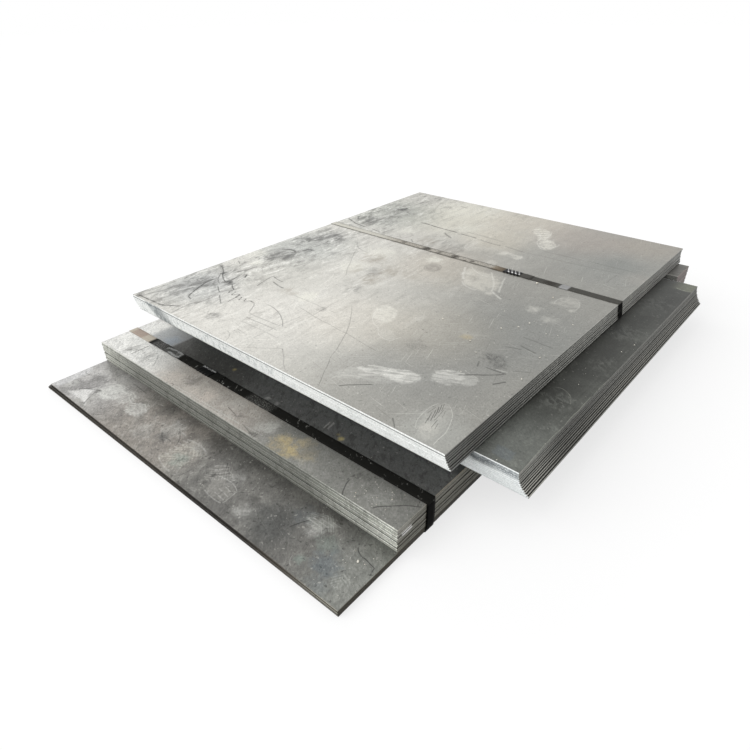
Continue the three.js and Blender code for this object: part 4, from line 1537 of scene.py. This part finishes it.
# The upper run is painted lighter than the runs down the sides, as light falls on it.
above = high_strap.ease("z", -2.0, -0.5)
high_strap.lay([above], (80, 79, 75))
mottled = high_strap.ease("Speckle", 0.4, 0.58, 0.5, 1.0)
# Paler middle of the upper run: worn lacquer and a painted reflection of the sky.
wear_and_reflection = [("x", -415, -450), mottled, above, ("Off middle", 13.0, 9.0, 0.35, 1.0), 0.95]
high_strap.lay(wear_and_reflection, (188, 183, 173), 0.5, 0.3)
faint = high_strap.times(stretch(high_strap, -960, -780), 0.12)
brown = high_strap.sum("MAXIMUM", stretch(high_strap, -455, -412), faint)
high_strap.lay([brown, above, 0.7], (120, 106, 88), 0.6, 0.1)
dark_spots = high_strap.blots(
    (0.8, -752, 945, 24), (0.8, -622, 945, 22), (0.6, -545, 945, 12), (0.5, -690, 940, 20),
    (0.6, -570, 934, 10), (0.5, -860, 945, 18), (0.6, -236, 945, 30),
)
high_strap.lay([dark_spots], (50, 46, 42), 0.5, 0.1)
# Pale upper run at the far left, between dark edges: a painted reflection of the sky.
painted_sky_reflection = [("x", -860, -1010), ("Off middle", 15.0, 12.0), above, 0.9]
high_strap.lay(painted_sky_reflection, (192, 190, 180), 0.5, 0.4)
high_strap.lay([stretch(high_strap, -201, -170, 3.0), 0.95], (158, 158, 158), 0.55, 0.3)
top_strap_steel = high_strap.finish("Speckle", 0.15)

low_strap = strap_steel("lower strap lacquer", (30, 30, 28), LOWER_STRAP_Y)
# The runs down the sides and the underside are painted darker, as shade.
low_strap.lay([("z", -132, -136)], (9, 9, 8))
glints = low_strap.ease("Speckle", 0.52, 0.62)
above = low_strap.ease("z", -130, -128)
low_strap.lay([("x", -1140, -1152), above, 0.95], (196, 188, 174), 0.55, 0.2)
low_strap.lay([stretch(low_strap, -1252, -1190, 5.0), above, 0.7], (168, 150, 140), 0.6, 0.1)
# The grey and silvery marks from here on lie on the creases: painted glints and reflections on the
# lacquer.
dusty = [stretch(low_strap, -1125, -1066), (glints, 0.2, 0.8, 0.2, 0.8), above]
low_strap.lay(dusty, (140, 140, 138), 0.45, 0.3)
loop = low_strap.lines(
    (0.95, 9, (-1062, -26), (-1048, -12), (-1020, -9), (-984, -10)),
    (0.9, 9, (-1040, -29), (-984, -28)), (0.8, 10, (-992, -8), (-984, -30)),
)
mottled = low_strap.times(("Speckle", 0.4, 0.58, 0.4, 1.0), above)
low_strap.lay([stretch(low_strap, -1064, -984), mottled, 0.8], (104, 105, 103), 0.45)
low_strap.lay([loop, mottled, 0.85], (190, 192, 190), 0.4, 0.5)
# Painted glints on the creases.
scraped = [stretch(low_strap, -646, -546), (glints, 0.2, 0.8, 0.15, 0.9), above]
low_strap.lay(scraped, (108, 108, 104), 0.5, 0.3)
lower_strap_steel = low_strap.finish("Speckle", 0.15)

# %% Straps
# Each crease: x of its middle, its reach, its height and how much it slants.
LOWER_CREASES = (
    (-1120, 16, 1.6, 0.4), (-1085, 14, 2.4, -0.5), (-1052, 12, 2.0, 0.6), (-1025, 12, 2.6, -0.3),
    (-990, 16, 2.0, 0.5), (-950, 14, 1.0, 0.2), (-765, 14, 1.2, 0.4), (-600, 12, 1.4, -0.6),
    (-560, 14, 1.6, 0.5), (-530, 10, 0.9, 0.3),
)
TOP_CREASES = (
    (-900, 22, 0.8, 0.4), (-760, 18, 1.0, -0.4), (-640, 20, 1.1, 0.5), (-520, 14, 1.0, -0.5),
    (-445, 12, 1.2, 0.4), (-320, 14, 1.0, 0.4), (-196, 12, 0.8, -0.3),
)
straps = [
    build_strap("lower_strap", lower_run, LOWER_STRAP_Y, LOWER_CREASES, 3.0, lower_strap_steel),
    build_strap("top_strap", top_run, TOP_STRAP_Y, TOP_CREASES, 8.0, top_strap_steel),
]
print("straps:", [len(strap.data.polygons) for strap in straps], "faces")

# %% [markdown]
# ## Seals
#
# A seal is a short steel channel pushed over both layers of strap and crimped: the tool presses
# four notches into each side, which bites the layers together and buckles the roof between them.
# The channel is a skin round its whole section, thick all through, and the crimps are pressed in
# by moving its points.

# %% Seal mesh
SEAL_LENGTH = 60.0
SEAL_STEPS = 48
SEAL_SECTION = (
    (-17.5, 0.35), (-17.5, 2.2), (-17.3, 3.1), (-16.8, 3.7), (-12.0, 3.85), (-6.0, 3.85),
    (0.0, 3.85), (6.0, 3.85), (12.0, 3.85), (16.8, 3.7), (17.3, 3.1), (17.5, 2.2),
    (17.5, 0.35), (16.35, 0.35), (16.3, 2.0), (15.9, 2.75), (8.0, 2.75), (0.0, 2.75),
    (-8.0, 2.75), (-15.9, 2.75), (-16.3, 2.0), (-16.35, 0.35),
)
ROOF_HEIGHT = 2.4
NOTCHES = (-20.0, -7.0, 7.0, 20.0)
NOTCH_REACH = 4.5
NOTCH_DEPTH = 2.6
NOTCH_SINKS = (0.5, 0.7)
SHOULDER_START, SHOULDER_WIDTH = 9.0, 8.5
BUCKLE = 0.12


def crimped(along, across, height):
    """Where a point of the channel goes when the notches are pressed in."""
    side = 1 if across > 0 else -1
    for k, notch in enumerate(NOTCHES):
        near = max(0.0, 1 - abs(along - notch) / NOTCH_REACH)
        outer = max(0.0, (abs(across) - SHOULDER_START) / SHOULDER_WIDTH)
        across -= side * NOTCH_DEPTH * near * outer
        height -= NOTCH_SINKS[k % 2] * near * outer * (height > ROOF_HEIGHT)
    buckle = noise.noise(Vector((along * 0.25, across * 0.2, 1.7)))
    return across, height + BUCKLE * buckle * (height > ROOF_HEIGHT)


def build_seal(name, seal_x, seal_y, floor_z, material):
    """The crimped channel that stands for a seal's solid."""
    mesh = bmesh.new()
    rings = []
    for step in range(SEAL_STEPS + 1):
        along = SEAL_LENGTH * (step / SEAL_STEPS - 0.5)
        ring = [crimped(along, *corner) for corner in SEAL_SECTION]
        rings.append([
            mesh.verts.new(place(seal_x + along, seal_y + across, floor_z + height))
            for across, height in ring
        ])
    skin(mesh, rings)
    bmesh.ops.recalc_face_normals(mesh, faces=mesh.faces)
    return make_piece(name + "_crimped", mesh, [material], name)


BAR_SLANT = 0.6
BAR_PITCH = 14.0
dark_seal = Steel("seal steel", (16, 16, 16), 0.4, 0.2, cloud_size=12.0)
dark_seal.gloss(0.1)
# The white bars and ridges on the black seal are painted glints.
bars = dark_seal.sum("ADD", "x", dark_seal.sum("MULTIPLY", "y", BAR_SLANT))
bars = dark_seal.sum("SINE", dark_seal.sum("MULTIPLY", bars, math.tau / BAR_PITCH))
slanting = dark_seal.times((bars, 0.6, 0.9), ("y", 943, 947), 0.6)
off_side = dark_seal.away("y", 939.0)
bright_side = dark_seal.times((bars, -0.1, 0.5), (off_side, 5.5, 3.0), ("x", -404, -396))
ridge = dark_seal.sum("ABSOLUTE", dark_seal.sum("ADD", "y", 9.0))
ridge = dark_seal.times((ridge, 4.6, 2.2), ("Speckle", 0.44, 0.54))
painted_glints = dark_seal.sum("MAXIMUM", dark_seal.sum("MAXIMUM", slanting, bright_side), ridge)
dark_seal.lay([painted_glints, 0.95], (224, 225, 224), 0.3, 0.7)
seal_steel = dark_seal.finish("Speckle", 0.2)
seals = [
    build_seal("lower_seal", LOWER_SEAL_X, LOWER_STRAP_Y, LOWER_Z, seal_steel),
    build_seal("top_seal", TOP_SEAL_X, TOP_STRAP_Y, TOP_Z, seal_steel),
]
print("seals:", [len(seal.data.polygons) for seal in seals], "faces")

# %% [markdown]
# ## Loose flakes
#
# Small flakes of lime and scale lie on the plates. Each is a crumpled little stone, a few
# millimetres across, resting on the face under it. The brightest ones have places of their own,
# the rest are strewn with a fixed seed so that every run is the same.

# %% Flakes
FLAKE_SEED = 11
FLAKE_GAP = 0.02
flake_dice = random.Random(FLAKE_SEED)
# Placed ones by the face that they lie on, each (x, y, size). Each strewn row: how many, on which
# face, from and to in x, from and to in y, and how large.
PLACED = {
    TOP_Z: (
        (-364, 505, 6.0), (-199, 562, 6.4), (-165, 602, 5.8), (-151, 642, 6.4), (-227, 442, 6.4),
        (-180, 400, 4.6), (-35, 483, 5.6), (-21, 360, 5.6), (-271, 917, 9.5), (-179, 848, 5.6),
        (-50, 714, 5.0), (-337, 551, 3.6), (-84, 614, 4.4), (-54, 626, 4.8), (-248, 666, 4.0),
        (-448, 186, 4.0), (-396, 293, 4.4), (-202, 334, 3.6), (-56, 530, 3.6), (-158, 293, 3.6),
    ),
    MIDDLE_Z: (
        (63, 110, 3.2), (107, 806, 4.6), (93, 744, 4.6), (52, 595, 2.6), (72, 507, 2.6),
    ),
    LOWER_Z: ((-98, -55, 3.4), (-112, -62, 2.4), (-104, -118, 2.0)),
    BASE_Z: ((-67, -206, 8.6), (-52, -202, 3.6)),
}
STREWN = (
    (60, TOP_Z, -560, -20, 40, 900, 1.8),
    (12, MIDDLE_Z, 12, 120, 120, 1200, 2.0),
    (26, LOWER_Z, -500, -30, -130, 90, 1.6),
    (40, BASE_Z, -1200, -30, -305, -150, 2.0),
    (22, LOWER_Z, -165, -60, -122, -40, 2.9),
    (6, BASE_Z, -110, -30, -250, -165, 3.0),
)


def add_flake(mesh, x, y, face_z, size):
    """One crumpled flake whose foot rests on the face at that height."""
    made = bmesh.ops.create_icosphere(mesh, subdivisions=1, radius=0.5)["verts"]
    turn = Matrix.Rotation(flake_dice.uniform(0, math.tau), 3, "Z")
    flatness = Vector((1.0, flake_dice.uniform(0.5, 0.8), flake_dice.uniform(0.3, 0.45)))
    for vertex in made:
        vertex.co *= flake_dice.uniform(0.8, 1.15)
        vertex.co = turn @ (vertex.co * flatness) * size * MM
    foot = min(vertex.co.z for vertex in made)
    spot = place(x, y, face_z + FLAKE_GAP) - Vector((0, 0, foot))
    for vertex in made:
        vertex.co += spot


flakes = bmesh.new()
for face_z, spots in PLACED.items():
    for x, y, size in spots:
        add_flake(flakes, x, y, face_z, size)
for count, face_z, x_low, x_high, y_low, y_high, size in STREWN:
    for _ in range(count):
        x = flake_dice.uniform(x_low, x_high)
        y = flake_dice.uniform(y_low, y_high)
        add_flake(flakes, x, y, face_z, size * flake_dice.uniform(0.5, 1.1))
lime = Steel("lime flakes", (238, 234, 222), 0.8, 0.0, cloud_size=30.0)
lime.lay([("Speckle", 0.58, 0.68)], (226, 208, 176))
loose_flakes = make_piece("loose_flakes", flakes, [lime.finish("Speckle", 0.2, 0.04)])
print("flakes:", len(loose_flakes.data.polygons), "faces")
